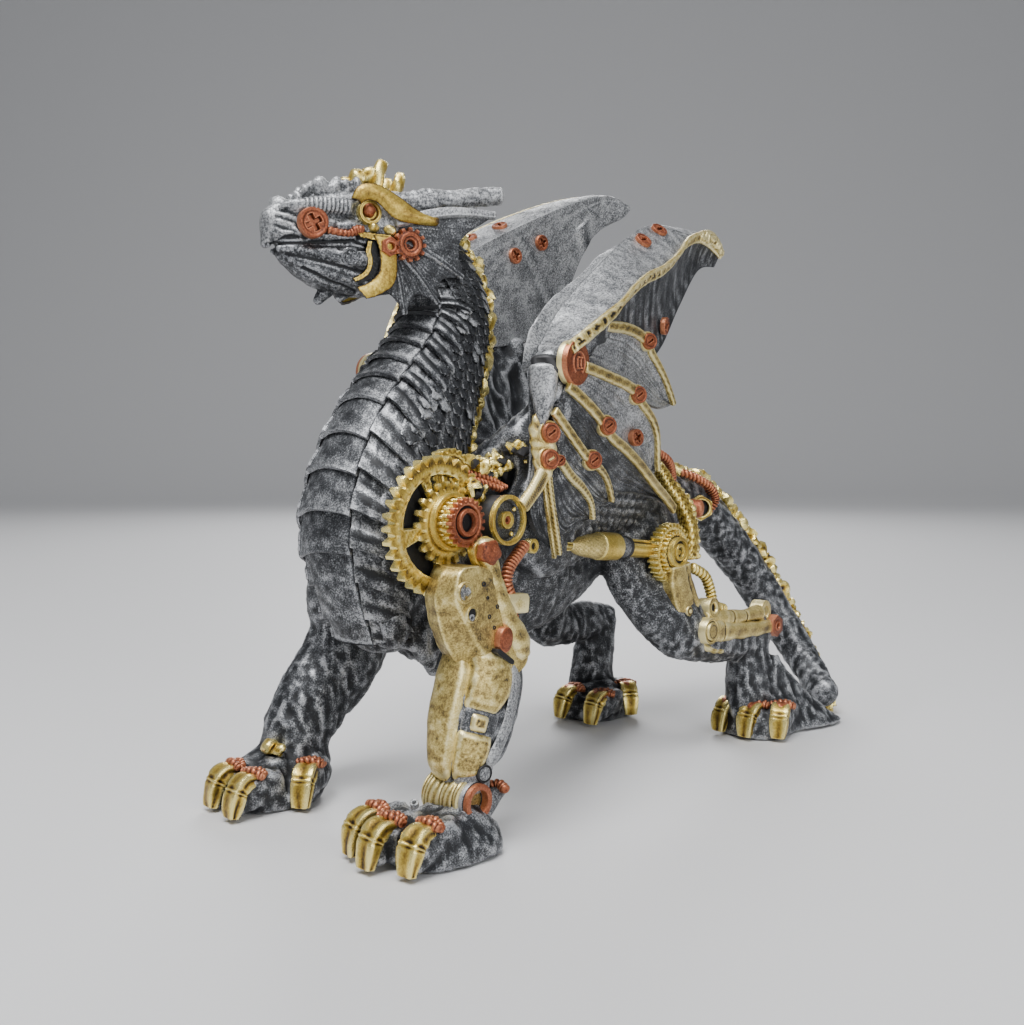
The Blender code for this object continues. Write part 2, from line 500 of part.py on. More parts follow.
# Shoulder clockwork on the left side
wheel("shoulder_gear", (28, 3, 81), (1, 0, 0), SHOULDER_GEAR_R, 0.005 + SHOULDER_GEAR_DEPTH / 2,
      SHOULDER_GEAR_TOOTH, SHOULDER_GEAR_TEETH, flat=True)
wheel("shoulder_gear_back", (26, 18, 93), (1, 0, 0), 0.0075, 0.0070, 0.0012, 18)
wheel("shoulder_hub", (33, 5, 82), (1, 0, 0), SHOULDER_HUB_R, SHOULDER_HUB_DEPTH, sides=20)
wheel("copper_gear", (35.5, 6, 82), (1, 0, 0), COPPER_GEAR_R, 0.0020 + COPPER_GEAR_DEPTH,
      COPPER_GEAR_TOOTH, 20)
wheel("flank_disc", (30, 21.6, 81.7), (1, 0, 0), FLANK_DISC_R, 0.0084 + FLANK_DISC_DEPTH, sides=20)
wheel("copper_bore", (37.6, 6, 82), (1, 0, 0), COPPER_BORE_R, 0.0060, sides=12, group=bores)
wheel("flank_recess", (39.2, 21.6, 81.7), (1, 0, 0), FLANK_DISC_R - FLANK_DISC_RIM, 0.0060, sides=16,
      group=bores)
wheel("clevis_bolt", (40, 14.5, 73), (1, 0, 0), 0.0032, 0.0040, sides=8)
bar("clevis_arm", (41, 15, 74), (42, 22, 54), 2.2, 3.4)
loft("upper_arm_plate", [[(32, back, z), (44.4, back, z), (44.4, edge, z), (39.4, front, z), (33, front + 2.6, z)]
                         for z, edge, front, back in ((71.4, -2.6, -3.6, 6.5), (69.6, -4.0, -5.6, 11.5),
                                                      (60, 0.6, -4.8, 15.5), (52, 5.6, -0.6, 20.5),
                                                      (48, 8.6, 3.4, 25.4), (44.4, 12.0, 9.6, 24.0),
                                                      (42.4, 14.5, 13, 20.5))])
sweep("coil", [(38, 26, 75, 1.7, 1.7), (39, 22.5, 70, 1.7, 1.7), (39.5, 22, 62, 1.7, 1.7),
               (39.5, 24.5, 57, 1.7, 1.7)], sides=6, steps=1)
bar("coil_block", (37, 24.5, 59.5), (43, 24.5, 59.5), 2.0, 2.6, side=(0, 1, 0))
wheel("ankle_drum", (34.5, 3, 13), (1, 0, 0), ANKLE_DRUM_R, ANKLE_DRUM_LENGTH + 0.0015, sides=16)
wheel("ankle_bore", (45.2, 3, 13), (1, 0, 0), ANKLE_RING_BORE_R, 0.0060, sides=12, group=bores)

# Hip clockwork and the rods of the left hind leg
wheel("hip_gear", (28, 104.6, 66.2), (1, 0, 0), HIP_GEAR_R, 0.0040 + HIP_GEAR_DEPTH, HIP_GEAR_TOOTH,
      HIP_GEAR_TEETH, flat=True)
wheel("hip_ring", (35, 104.4, 66.8), (1, 0, 0), HIP_RING_R, HIP_RING_DEPTH + 0.0012, sides=16)
wheel("hip_bore", (36.0, 104.4, 66.8), (1, 0, 0), HIP_RING_BORE_R, 0.0060, sides=12, group=bores)
sweep("flank_piston", [(31.6, 56, 72, 1.4, 1.4), (32, 62, 71.5, 2.6, 2.6), (32.2, 69, 70.9, 4.1, 4.1),
                       (32.2, 78, 70.1, 4.1, 4.1), (31.6, 98, 67.2, 3, 3)], sides=10, steps=1)
bar("rump_bar", (22, 120, 92), (30, 124, 72), 2.4, 4.0)
bar("thigh_bar", (36, 111, 61), (39, 117, 42), 3.0, 4.6)
wheel("knee_bolt", (34, 119, 39), (1, 0, 0), 0.0042, 0.0085, sides=12)
sweep("rod_low", [(38, 119, 38, 3.0, 3.2), (38.5, 135, 36, 2.8, 3.2), (38.5, 150, 35.5, 2.6, 3.0),
                  (38, 163, 35.5, 2.6, 2.8)], sides=8, steps=1)
sweep("rod_high", [(37, 121, 42, 2.2, 2.2), (37.5, 138, 41.5, 2.4, 2.4), (37.5, 156, 41.5, 2.8, 2.8)],
      sides=8, steps=1)
wheel("rod_nut", (37, 163, 36.5), (1, 0, 0), 0.0034, 0.0048, sides=6)
spike("hock_spur", (34, 155, 37), (34, 165, 34), 5.6, 5.6, 8, 0.4)
sweep("rump_hose", [(9, 130, 92, 1.8, 1.8), (15, 137, 87, 1.8, 1.8), (13, 147, 86, 1.8, 1.8),
                    (6, 153, 86, 1.8, 1.8)], sides=6, steps=1)
wheel("rump_stub", (10, 141, 82), (1, 0, 0.1), 0.0034, 0.0120, sides=10)

# One casting: everything above grown into a single skin, then the bores cut
core = bpy.data.objects["torso"]
casting.objects.unlink(core)
scene.collection.objects.link(core)
core.name = "dragon"
core.hide_render = False
core.display_type = "TEXTURED"
grow = core.modifiers.new("grow", "BOOLEAN")
grow.operation = "UNION"
grow.operand_type = "COLLECTION"
grow.collection = casting
grow.solver = "EXACT"
grow.use_self = True

bore = core.modifiers.new("bore", "BOOLEAN")
bore.operation = "DIFFERENCE"
bore.operand_type = "COLLECTION"
bore.collection = bores
bore.solver = "EXACT"
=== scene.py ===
# %% [markdown]
# # A clockwork dragon in painted resin
# The real object is one cast figure, painted near-black, brushed with silver and picked out in gold and copper.
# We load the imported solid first. It fixes the size and the place of everything, and the pieces below are laid
# over it as fine surfaces.

# %% load the frame
import math
import bpy
import numpy as np
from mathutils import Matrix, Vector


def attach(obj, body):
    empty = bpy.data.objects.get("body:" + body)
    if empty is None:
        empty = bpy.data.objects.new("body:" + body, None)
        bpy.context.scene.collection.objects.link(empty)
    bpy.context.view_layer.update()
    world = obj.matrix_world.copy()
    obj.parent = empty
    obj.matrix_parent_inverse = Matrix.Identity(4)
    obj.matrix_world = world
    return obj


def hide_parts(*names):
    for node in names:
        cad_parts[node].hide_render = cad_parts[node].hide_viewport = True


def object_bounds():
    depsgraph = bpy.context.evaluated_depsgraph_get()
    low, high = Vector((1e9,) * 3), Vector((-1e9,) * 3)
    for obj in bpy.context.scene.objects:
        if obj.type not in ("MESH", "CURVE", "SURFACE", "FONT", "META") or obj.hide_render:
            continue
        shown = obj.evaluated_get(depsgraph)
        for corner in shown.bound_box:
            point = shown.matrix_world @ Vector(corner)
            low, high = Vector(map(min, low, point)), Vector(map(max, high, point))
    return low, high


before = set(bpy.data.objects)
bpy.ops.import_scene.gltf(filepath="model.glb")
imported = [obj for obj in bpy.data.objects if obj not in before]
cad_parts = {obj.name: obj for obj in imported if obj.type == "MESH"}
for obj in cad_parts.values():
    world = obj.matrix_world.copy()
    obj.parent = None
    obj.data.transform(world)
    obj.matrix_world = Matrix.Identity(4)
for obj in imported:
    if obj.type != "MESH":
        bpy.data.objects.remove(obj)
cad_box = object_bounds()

MM = 0.001
POSE_ORIGIN = np.array([4.7, 93.25, 0.0])   # the floor point under the middle of the outline, in the pose
ACROSS = (1, 0, 0)   # towards the dragon's left
BOX = np.array([[float(v) for v in corner] for corner in cad_box])   # nothing below may leave the cast size
FINENESS = 0.8   # share of the grid counts asked for by tubes and lofts
print("CAD box", [[round(float(v), 4) for v in corner] for corner in cad_box])

# %% [markdown]
# ## Shapes as arrays
# Every shape is worked out in millimetres in the dragon's pose, as arrays of points. A shape is a list of parts,
# and a part is its points, its four-sided faces, its three-sided faces and one finish number. Working in whole
# arrays keeps the script quick and makes each shape a formula that can be read.

# %% curves and tubes


def curve(rows, n):
    """n rows along a smooth curve through the given rows: each stretch is the cubic that passes through its two
    ends with slopes taken from their neighbours."""
    rows = np.asarray(rows, float)
    t = np.linspace(0, len(rows) - 1, n)
    i = np.minimum(t.astype(int), len(rows) - 2)
    f = (t - i)[:, None]
    a, b = rows[np.maximum(i - 1, 0)], rows[i]
    c, d = rows[i + 1], rows[np.minimum(i + 2, len(rows) - 1)]
    return 0.5 * (2 * b + (c - a) * f + (2 * a - 5 * b + 4 * c - d) * f ** 2 + (3 * b - a - 3 * c + d) * f ** 3)


def unit(v):
    return v / np.maximum(np.linalg.norm(v, axis=-1, keepdims=True), 1e-9)


def grid_faces(n, m, wrap):
    """Four-sided faces between n rows of m points, joined round when wrap is set."""
    i, j = np.meshgrid(np.arange(n - 1), np.arange(m if wrap else m - 1), indexing="ij")
    k = (j + 1) % m
    return np.stack([i * m + j, i * m + k, (i + 1) * m + k, (i + 1) * m + j], -1).reshape(-1, 4)


def outwards(points, quads, tris, finish):
    """One closed part with its faces turned outwards: if its signed volume comes out negative they are reversed."""
    fans = np.concatenate([quads[:, :3], quads[:, [0, 2, 3]], tris])
    a, b, c = (points[fans[:, k]] - points.mean(0) for k in range(3))
    if (a * np.cross(b, c)).sum() < 0:
        quads, tris = quads[:, ::-1], tris[:, ::-1]
    return [(points, quads, tris, finish)]


def capped(rings, finish=0):
    """A closed skin over rings of points, shape (n, m, 3), with a fan of triangles over each end."""
    n, m, _ = rings.shape
    points = np.concatenate([rings.reshape(-1, 3), rings[0].mean(0)[None], rings[-1].mean(0)[None]])
    j = np.arange(m)
    k = (j + 1) % m
    low = np.stack([k, j, np.full(m, n * m)], -1)
    high = np.stack([(n - 1) * m + j, (n - 1) * m + k, np.full(m, n * m + 1)], -1)
    return outwards(points, grid_faces(n, m, True), np.concatenate([low, high]), finish)


def section_frames(centre, side):
    """Unit arrows across and deep at each point of a path, square to its run."""
    run = unit(np.gradient(centre, axis=0))
    across = np.broadcast_to(np.asarray(side, float), run.shape)
    across = unit(across - run * (across * run).sum(-1, keepdims=True))
    return run, across, np.cross(run, across)


def tube(rows, n=40, m=28, side=ACROSS, square=2.0, finish=0, relief=None, blunt=0.5):
    """A limb: superellipse sections of half width a and half depth b carried along a smooth path. relief(t, angle)
    adds millimetres to the radius, and both ends close in a short dome."""
    n, m = round(n * FINENESS), round(m * FINENESS)
    r = curve(rows, n)
    run, across, deep = section_frames(r[:, :3], side)
    angle = np.linspace(0, 2 * np.pi, m, endpoint=False)
    c, s = np.cos(angle), np.sin(angle)
    reach = (np.abs(c) ** square + np.abs(s) ** square) ** (-1 / square)
    t = np.linspace(0, 1, n)
    extra = relief(t[:, None], angle[None, :]) if relief else np.zeros((n, m))
    a = r[:, 3:4] * reach + extra
    b = r[:, 4:5] * reach + extra
    rings = r[:, None, :3] + across[:, None] * (a * c)[..., None] + deep[:, None] * (b * s)[..., None]
    ends = []
    for at, way in ((0, -1), (-1, 1)):
        dome = []
        for phi in (0.45, 0.9, 1.3):
            slip = run[at] * way * math.sin(phi) * blunt * min(r[at, 3], r[at, 4])
            dome.append(r[at, :3] + (rings[at] - r[at, :3]) * math.cos(phi) + slip)
        ends.append(np.array(dome))
    return capped(np.concatenate([ends[0][::-1], rings, ends[1]]), finish)


def bar(start, end, width, depth, side=ACROSS, finish=0, n=4, m=24, square=6.0):
    """A straight bar with softly squared sections."""
    rows = [(*start, width, depth), (*((np.array(start) + end) / 2), width, depth), (*end, width, depth)]
    return tube(rows, n, m, side, square, finish, blunt=0.2)


print("curve, grid and tube helpers ready")

# %% turned and toothed shapes


def axis_arrows(axis):
    """Two arrows square to an axis; for an axis along X they point along Y and Z."""
    axis = unit(np.asarray(axis, float))
    first = unit(np.cross(np.array([0.0, 0.0, 1.0]), axis)) if abs(axis[2]) < 0.9 else np.array([1.0, 0, 0])
    first = unit(first - axis * (first @ axis))
    return axis, first, np.cross(axis, first)


def dial(centre, axis, outline, height, depth, nr=14, m=48, finish=0, hollow=None):
    """A disc or gear: outline(angle) is its radius at the rim, and further in it is round. The face is a polar grid
    that rises height(radius share, angle, radius) over depth, and a wall runs from its rim down to the back. hollow
    is a rise and a finish: the face takes that finish wherever it lies lower; near-black there is painted shade."""
    axis, first, second = axis_arrows(axis)
    angle = np.linspace(0, 2 * np.pi, m, endpoint=False)
    reach = outline(angle) * np.ones(m)
    share = np.linspace(1, 0.02, nr)
    radius = share[:, None] * reach.min() + (reach - reach.min()) * np.clip((share[:, None] - 0.84) / 0.16, 0, 1)
    rise = depth + height(share[:, None] * np.ones((1, m)), angle[None, :] * np.ones((nr, 1)), radius)
    radius = np.concatenate([reach[None], reach[None], radius])
    rise = np.concatenate([np.zeros((1, m)), rise[:1] - 0.15, rise])
    radius[2] = np.maximum(radius[2] - 0.12, 0)
    rings = (np.asarray(centre, float) + axis * rise[..., None]
             + first * (radius * np.cos(angle))[..., None] + second * (radius * np.sin(angle))[..., None])
    if hollow:
        mean = (rise[:-1] + rise[1:] + np.roll(rise[:-1], -1, 1) + np.roll(rise[1:], -1, 1)) / 4
        low = (mean < depth + hollow[0]) & (np.arange(len(mean))[:, None] > 1)
        end = (rise[-1] < depth + hollow[0])
        finish = (np.where(low.ravel(), hollow[1], finish),
                  np.where(np.concatenate([end * False, end]), hollow[1], finish))
    return capped(rings, finish)


def ring(centre, axis, inner, outer, low, high, finish=0, m=64, soft=0.28):
    """A round band with softly cornered section, from low to high along its axis, closed both ways."""
    axis, first, second = axis_arrows(axis)
    angle = np.linspace(0, 2 * np.pi, m, endpoint=False)
    c = min(soft, (outer - inner) / 2.2, (high - low) / 2.2)
    section = np.array([(inner, low), (outer, low), (outer, high - c), (outer - c * 0.3, high - c * 0.3),
                        (outer - c, high),
                        (inner + c, high), (inner + c * 0.3, high - c * 0.3), (inner, high - c)])
    points = (np.asarray(centre, float) + axis * section[:, 1, None, None] + section[:, 0, None, None]
              * (first * np.cos(angle)[:, None] + second * np.sin(angle)[:, None])[None])
    k = len(section)
    faces = grid_faces(k + 1, m, True) % (k * m)
    return outwards(points.reshape(-1, 3), faces, np.zeros((0, 3), int), finish)


def loft(sections, n=40, m=64, ease=3, finish=0, relief=None):
    """A skin through polygons with the same number of corners: each is cut into m points and its corners are eased,
    then smooth lines join them. relief(points) moves points away from the section's middle."""
    n, m = round(n * FINENESS), round(m * FINENESS)
    rings = []
    for polygon in sections:
        p = np.asarray(polygon, float)
        w = np.linspace(0, 1, max(2, m // len(p)), endpoint=False)[:, None]
        one = np.concatenate([a * (1 - w) + b * w for a, b in zip(p, np.roll(p, -1, 0))])
        for _ in range(ease):
            one = (np.roll(one, 1, 0) + 2 * one + np.roll(one, -1, 0)) / 4
        rings.append(one)
    k = len(rings[0])
    rows = curve(np.array(rings).reshape(len(rings), -1), n).reshape(n, k, 3)
    if relief:
        arm = unit(rows - rows.mean(1, keepdims=True))
        rows = rows + arm * relief(rows.reshape(-1, 3)).reshape(n, k)[..., None]
    first, last = rows[0].mean(0), rows[-1].mean(0)
    rows = np.concatenate([(first + (rows[0] - first) * 0.94)[None], rows, (last + (rows[-1] - last) * 0.94)[None]])
    return capped(rows, finish)


def teeth(radius, tooth, count, soft=6.0):
    """A toothed outline: the radius swells by tooth over each of count flat-topped waves."""
    def outline(angle):
        return radius + tooth * (0.5 + 0.5 * np.tanh(soft * np.cos(angle * count)) / np.tanh(soft))
    return outline


def ring_height(*bands):
    """Stepped face: each band is (inner radius, outer radius, rise) in millimetres, with soft edges."""
    def height(share, angle, radius):
        rise = np.zeros_like(radius)
        for low, high, up in bands:
            inside = 0.5 * (np.tanh((radius - low) * 8) - np.tanh((radius - high) * 8))
            rise = rise + up * inside
        return rise
    return height


def slot_height(count, length, width, cut, rim=0.0):
    """A screw head: count bars cut across the middle, and a raised rim."""
    def height(share, angle, radius):
        x, y = radius * np.cos(angle), radius * np.sin(angle)
        rise = rim * (np.tanh((share - 0.78) * 20) * 0.5 + 0.5) + 0.25 * (1 - share ** 2)
        for k in range(count):
            a = math.pi * k / max(count, 1) + 0.5
            along, over = x * math.cos(a) + y * math.sin(a), -x * math.sin(a) + y * math.cos(a)
            inside = (np.abs(along) < length) & (np.abs(over) < width)
            rise = np.where(inside, -cut, rise)
        return rise
    return height


def screw(centre, axis, radius=3.0, depth=1.2, slots=2, finish=0):
    """A round screw head with one or two crossed slots."""
    return dial(centre, axis, lambda a: radius, slot_height(slots, radius * 0.62, radius * 0.17, depth * 0.5, 0.25),
                depth, nr=14, m=36, finish=finish)


def coil_tube(rows, radius, pitch, depth=0.35, side=ACROSS, finish=0, per=6):
    """A wound hose: a tube whose radius rises and falls once every pitch of its length."""
    path = curve(rows, 80)
    length = np.linalg.norm(np.diff(path, axis=0), axis=1).sum()
    turns = max(3, round(length / pitch))
    full = [(*p, radius, radius) for p in np.asarray(rows, float)]
    return tube(full, turns * max(5, round(per * FINENESS)) / FINENESS, 16, side, 2.0, finish,
                relief=lambda t, a: -depth * (0.5 - 0.5 * np.cos(2 * np.pi * turns * t - a)) ** 1.5)


def sheet(grid, thickness, finish=0):
    """A curved sheet with real thickness: a grid of points, shape (n, m, 3), moved both ways along its normals, and
    closed round its rim."""
    du, dv = np.gradient(grid, axis=0), np.gradient(grid, axis=1)
    normal = unit(np.cross(du, dv))
    half = np.full(grid.shape[:2], thickness / 2) if np.isscalar(thickness) else thickness / 2
    top, low = grid + normal * half[..., None], grid - normal * half[..., None]
    n, m, _ = grid.shape
    points = np.concatenate([top.reshape(-1, 3), low.reshape(-1, 3)])
    faces = grid_faces(n, m, False)
    rim = np.concatenate([np.arange(m), np.arange(1, n) * m + m - 1, (n - 1) * m + np.arange(m - 2, -1, -1),
                          np.arange(n - 2, 0, -1) * m])
    nxt = np.roll(rim, -1)
    wall = np.stack([rim, rim + n * m, nxt + n * m, nxt], -1)
    return outwards(points, np.concatenate([faces[:, ::-1], faces + n * m, wall]), np.zeros((0, 3), int), finish)


def lump(centre, size, seed, stretch=(1, 1, 1), rough=0.22, finish=0, n=9, m=14):
    """A cast nugget: a ball whose radius wavers with a few sine waves chosen by its seed."""
    rng = np.random.default_rng(seed)
    u = np.linspace(0.12, np.pi - 0.12, n)[:, None]
    v = np.linspace(0, 2 * np.pi, m, endpoint=False)[None]
    ball = np.stack([np.sin(u) * np.cos(v), np.sin(u) * np.sin(v), np.cos(u) * np.ones_like(v)], -1)
    k, p = rng.normal(0, 2.2, (5, 3)), rng.uniform(0, 6.28, 5)
    wave = np.sin(ball @ k.T + p).sum(-1) / 5
    ball = ball * (size * (1 + rough * 1.6 * wave))[..., None] * np.asarray(stretch, float)
    turn = unit(rng.normal(size=3)) * 0.5
    ball = ball + np.cross(turn, ball)
    return capped(ball + np.asarray(centre, float), finish)


print("dial, screw, coil, sheet and nugget helpers ready")

# %% [markdown]
# ## Noise for the sculptor's surface
# Hand-modelled resin is never even. A smooth random field, the same on every run, moves points in and out.

# %% noise


def noise(p, scale, seed=0):
    """Value noise from -1 to 1: random values on a cubic lattice of that spacing, blended with smooth weights."""
    q = p / scale
    base = np.floor(q).astype(np.int64)
    f = q - base
    f = f * f * (3 - 2 * f)
    total = np.zeros(len(p))
    for dx in (0, 1):
        for dy in (0, 1):
            for dz in (0, 1):
                x, y, z = base[:, 0] + dx, base[:, 1] + dy, base[:, 2] + dz
                h = (x * 73856093) ^ (y * 19349663) ^ (z * 83492791) ^ (seed * 2654435761)
                h = (h ^ (h >> 13)) * 1274126177 & 0x7FFFFFFF
                value = (h ^ (h >> 16)) % 65536 / 32767.5 - 1
                weight = ((f[:, 0] if dx else 1 - f[:, 0]) * (f[:, 1] if dy else 1 - f[:, 1])
                          * (f[:, 2] if dz else 1 - f[:, 2]))
                total += value * weight
    return total


def fractal(p, scale, octaves=3, seed=0):
    return sum(noise(p, scale / 2 ** k, seed + k) / 2 ** k for k in range(octaves))


print("noise at the origin", round(float(noise(np.zeros((1, 3)), 5.0)[0]), 3))

# %% [markdown]
# ## The paints
# The casting is near-black, with silver brushed over whatever stands out. Gold and copper are brushed on their own
# parts and left dark in the hollows. A paler gold covers the wing's edges and ribs, the housing, the forearm and
# the rods. A brush wets raised edges first, so each mesh
# carries a number called edge, which is how far each point stands out from its neighbours. One node group turns
# that number and some noise into a mask, and every paint uses it.

# %% the brushed-edge node group
brush = bpy.data.node_groups.new("brushed_edges", "ShaderNodeTree")
for sock, kind, way, default in (("Gain", "NodeSocketFloat", "INPUT", 3.0),
    ("Level", "NodeSocketFloat", "INPUT", 0.0),
                                 ("Speckle", "NodeSocketFloat", "INPUT", 0.5), ("Scale", "NodeSocketFloat", "INPUT",
                                     900.0),
                                 ("Mask", "NodeSocketFloat", "OUTPUT", None), ("Height", "NodeSocketFloat",
                                     "OUTPUT", None)):
    made = brush.interface.new_socket(sock, in_out=way, socket_type=kind)
    if default is not None:
        made.default_value = default


def wire(tree, a, b):
    tree.links.new(a, b)


def math_node(tree, kind, a, b=None, clamp=False):
    node = tree.nodes.new("ShaderNodeMath")
    node.operation, node.use_clamp = kind, clamp
    for i, v in enumerate((a, b)):
        if v is None:
            continue
        if isinstance(v, (int, float)):
            node.inputs[i].default_value = v
        else:
            tree.links.new(v, node.inputs[i])
    return node.outputs[0]


def noise_node(tree, vector, scale, detail=3.0, rough=0.6, distort=0.0):
    node = tree.nodes.new("ShaderNodeTexNoise")
    node.inputs["Scale"].default_value = scale
    node.inputs["Detail"].default_value = detail
    node.inputs["Roughness"].default_value = rough
    node.inputs["Distortion"].default_value = distort
    tree.links.new(vector, node.inputs["Vector"])
    return node


gin, gout = brush.nodes.new("NodeGroupInput"), brush.nodes.new("NodeGroupOutput")
place = brush.nodes.new("ShaderNodeTexCoord").outputs["Object"]
edge = brush.nodes.new("ShaderNodeAttribute")
edge.attribute_name = "edge"
fine = noise_node(brush, place, 1400.0, 4.0, 0.7)
wire(brush, gin.outputs["Scale"], fine.inputs["Scale"])
broad = noise_node(brush, place, 120.0, 3.0, 0.6)
raised = math_node(brush, "MULTIPLY", edge.outputs["Fac"], gin.outputs["Gain"])
grain = math_node(brush, "MULTIPLY", math_node(brush, "SUBTRACT", fine.outputs["Fac"], 0.5), gin.outputs["Speckle"])
patch = math_node(brush, "MULTIPLY", math_node(brush, "SUBTRACT", broad.outputs["Fac"], 0.5), 0.8)
total = math_node(brush, "ADD", math_node(brush, "ADD", raised, grain),
                  math_node(brush, "ADD", patch, gin.outputs["Level"]))
wire(brush, math_node(brush, "MULTIPLY", total, 1.0, True), gout.inputs["Mask"])
wire(brush, math_node(brush, "ADD", math_node(brush, "MULTIPLY", fine.outputs["Fac"], 0.7), broad.outputs["Fac"]),
     gout.inputs["Height"])
print("node group", brush.name, "with", len(brush.nodes), "nodes")

# %% the paints


def paint(name, stops, rough=(0.5, 0.35), metal=(0.3, 0.7), gain=3.0, level=0.0, speckle=1.6, scale=1400.0,
          bump=0.25, lines=None):
    """A painted finish: stops are the colours from hollow to raised edge; rough and metal run the same way. lines
    adds fine engraved cells of that scale to the bump and to the mask."""
    mat = bpy.data.materials.new(name)
    mat.use_nodes = True
    tree = mat.node_tree
    shader = tree.nodes["Principled BSDF"]
    group = tree.nodes.new("ShaderNodeGroup")
    group.node_tree = brush
    group.name = "brushed edges"
    for key, value in (("Gain", gain), ("Level", level), ("Speckle", speckle), ("Scale", scale)):
        group.inputs[key].default_value = value
    mask, height = group.outputs["Mask"], group.outputs["Height"]
    if lines:
        coords = tree.nodes.new("ShaderNodeTexCoord").outputs["Object"]
        warp = noise_node(tree, coords, lines * 0.6, 2.0)
        mixed = tree.nodes.new("ShaderNodeVectorMath")
        mixed.operation = "MULTIPLY_ADD"
        tree.links.new(warp.outputs["Color"], mixed.inputs[0])
        mixed.inputs[1].default_value = (0.002, 0.002, 0.002)
        tree.links.new(coords, mixed.inputs[2])
        stretch = tree.nodes.new("ShaderNodeMapping")
        stretch.inputs["Scale"].default_value = (1.0, 0.55, 1.25)
        stretch.inputs["Rotation"].default_value = (0.7, 0.3, 0.2)
        tree.links.new(mixed.outputs[0], stretch.inputs["Vector"])
        cells = noise_node(tree, stretch.outputs["Vector"], lines, 1.0, 0.5, 1.6)
        net = math_node(tree, "SUBTRACT", 1.0, math_node(tree, "MULTIPLY", math_node(tree, "ABSOLUTE",
                        math_node(tree, "SUBTRACT", cells.outputs["Fac"], 0.5)), 11.0, True), True)
        mask = math_node(tree, "ADD", mask, math_node(tree, "MULTIPLY", net, 0.34), True)
        height = math_node(tree, "ADD", height, math_node(tree, "MULTIPLY", net, 1.0))
    ramp = tree.nodes.new("ShaderNodeValToRGB")
    ramp.color_ramp.elements[0].position, ramp.color_ramp.elements[0].color = stops[0][0], (*stops[0][1], 1)
    ramp.color_ramp.elements[1].position, ramp.color_ramp.elements[1].color = stops[-1][0], (*stops[-1][1], 1)
    for at, colour in stops[1:-1]:
        ramp.color_ramp.elements.new(at).color = (*colour, 1)
    wire(tree, mask, ramp.inputs["Fac"])
    wire(tree, ramp.outputs["Color"], shader.inputs["Base Color"])
    for key, (low, high) in (("Roughness", rough), ("Metallic", metal)):
        wire(tree, math_node(tree, "ADD", math_node(tree, "MULTIPLY", mask, high - low), low), shader.inputs[key])
    relief = tree.nodes.new("ShaderNodeBump")
    relief.inputs["Strength"].default_value = bump
    relief.inputs["Distance"].default_value = 0.0004
    wire(tree, height, relief.inputs["Height"])
    wire(tree, relief.outputs["Normal"], shader.inputs["Normal"])
    return mat


DARK = paint("gunmetal_brushed_silver", ((0.05, (0.008, 0.009, 0.011)), (0.34, (0.028, 0.030, 0.035)),
    (0.62, (0.11, 0.115, 0.123)),
                                         (1.0, (0.44, 0.45, 0.47))), (0.55, 0.42), (0.25, 0.6), gain=0.75,
                                         level=0.42, speckle=2.3, scale=2300.0)
STEEL = paint("neck_steel", ((0.05, (0.008, 0.009, 0.011)), (0.34, (0.030, 0.032, 0.037)),
    (0.62, (0.125, 0.13, 0.138)),
                             (1.0, (0.48, 0.49, 0.51))), (0.55, 0.42), (0.25, 0.6), gain=0.8, level=0.52,
                             speckle=2.3, scale=2300.0)
NET = paint("gunmetal_fine_hatching", ((0.05, (0.007, 0.008, 0.010)), (0.36, (0.026, 0.028, 0.033)),
    (0.64, (0.11, 0.115, 0.123)),
                                       (1.0, (0.46, 0.47, 0.49))), (0.55, 0.42), (0.25, 0.6), gain=0.55, level=0.30,
                                       speckle=2.2,
            scale=2300.0, lines=900.0)
PALE = paint("wing_silver", ((0.05, (0.02, 0.022, 0.026)), (0.40, (0.10, 0.105, 0.112)),
    (0.72, (0.27, 0.275, 0.285)), (1.0, (0.50, 0.51, 0.52))),
             (0.5, 0.42), (0.3, 0.55), gain=0.45, level=0.66, speckle=2.8, scale=2000.0)
GOLD = paint("brushed_gold", ((0.05, (0.008, 0.005, 0.003)), (0.24, (0.060, 0.034, 0.009)),
    (0.46, (0.30, 0.190, 0.032)), (0.70, (0.63, 0.45, 0.088)),
                              (1.0, (0.95, 0.80, 0.31))), (0.46, 0.26), (0.5, 0.85), gain=0.85, level=0.58,
                              speckle=0.75, scale=2000.0, bump=0.35)
AGED = paint("aged_gold", ((0.05, (0.010, 0.008, 0.006)), (0.24, (0.062, 0.048, 0.026)),
    (0.46, (0.28, 0.198, 0.062)), (0.70, (0.62, 0.485, 0.165)),
                            (1.0, (0.95, 0.83, 0.43))), (0.5, 0.32), (0.45, 0.75), gain=1.0, level=0.55,
                            speckle=1.1, scale=2000.0, bump=0.35)
COPPER = paint("brushed_copper", ((0.05, (0.014, 0.005, 0.003)), (0.30, (0.075, 0.018, 0.008)),
    (0.60, (0.28, 0.075, 0.030)), (1.0, (0.58, 0.23, 0.12))),
               (0.5, 0.36), (0.4, 0.7), gain=0.55, level=0.56, speckle=1.0, scale=2000.0, bump=0.35)
# Near-black: the figure's black paint on some raised parts, and painted shade where it fills sunk faces, holes,
# slots, seams and the wings' undersides.
BLACK_AND_SHADE = paint("near_black_and_painted_shade", ((0.2, (0.004, 0.004, 0.005)), (1.0, (0.03, 0.03, 0.033))), (0.6, 0.5), (0.2, 0.3),
              level=0.1)
FINISHES = [DARK, NET, PALE, GOLD, COPPER, BLACK_AND_SHADE, STEEL, AGED]
D, N, P, G, C, K, S, A = range(8)
print("paints:", ", ".join(m.name for m in FINISHES))

# %% putting a shape into the scene


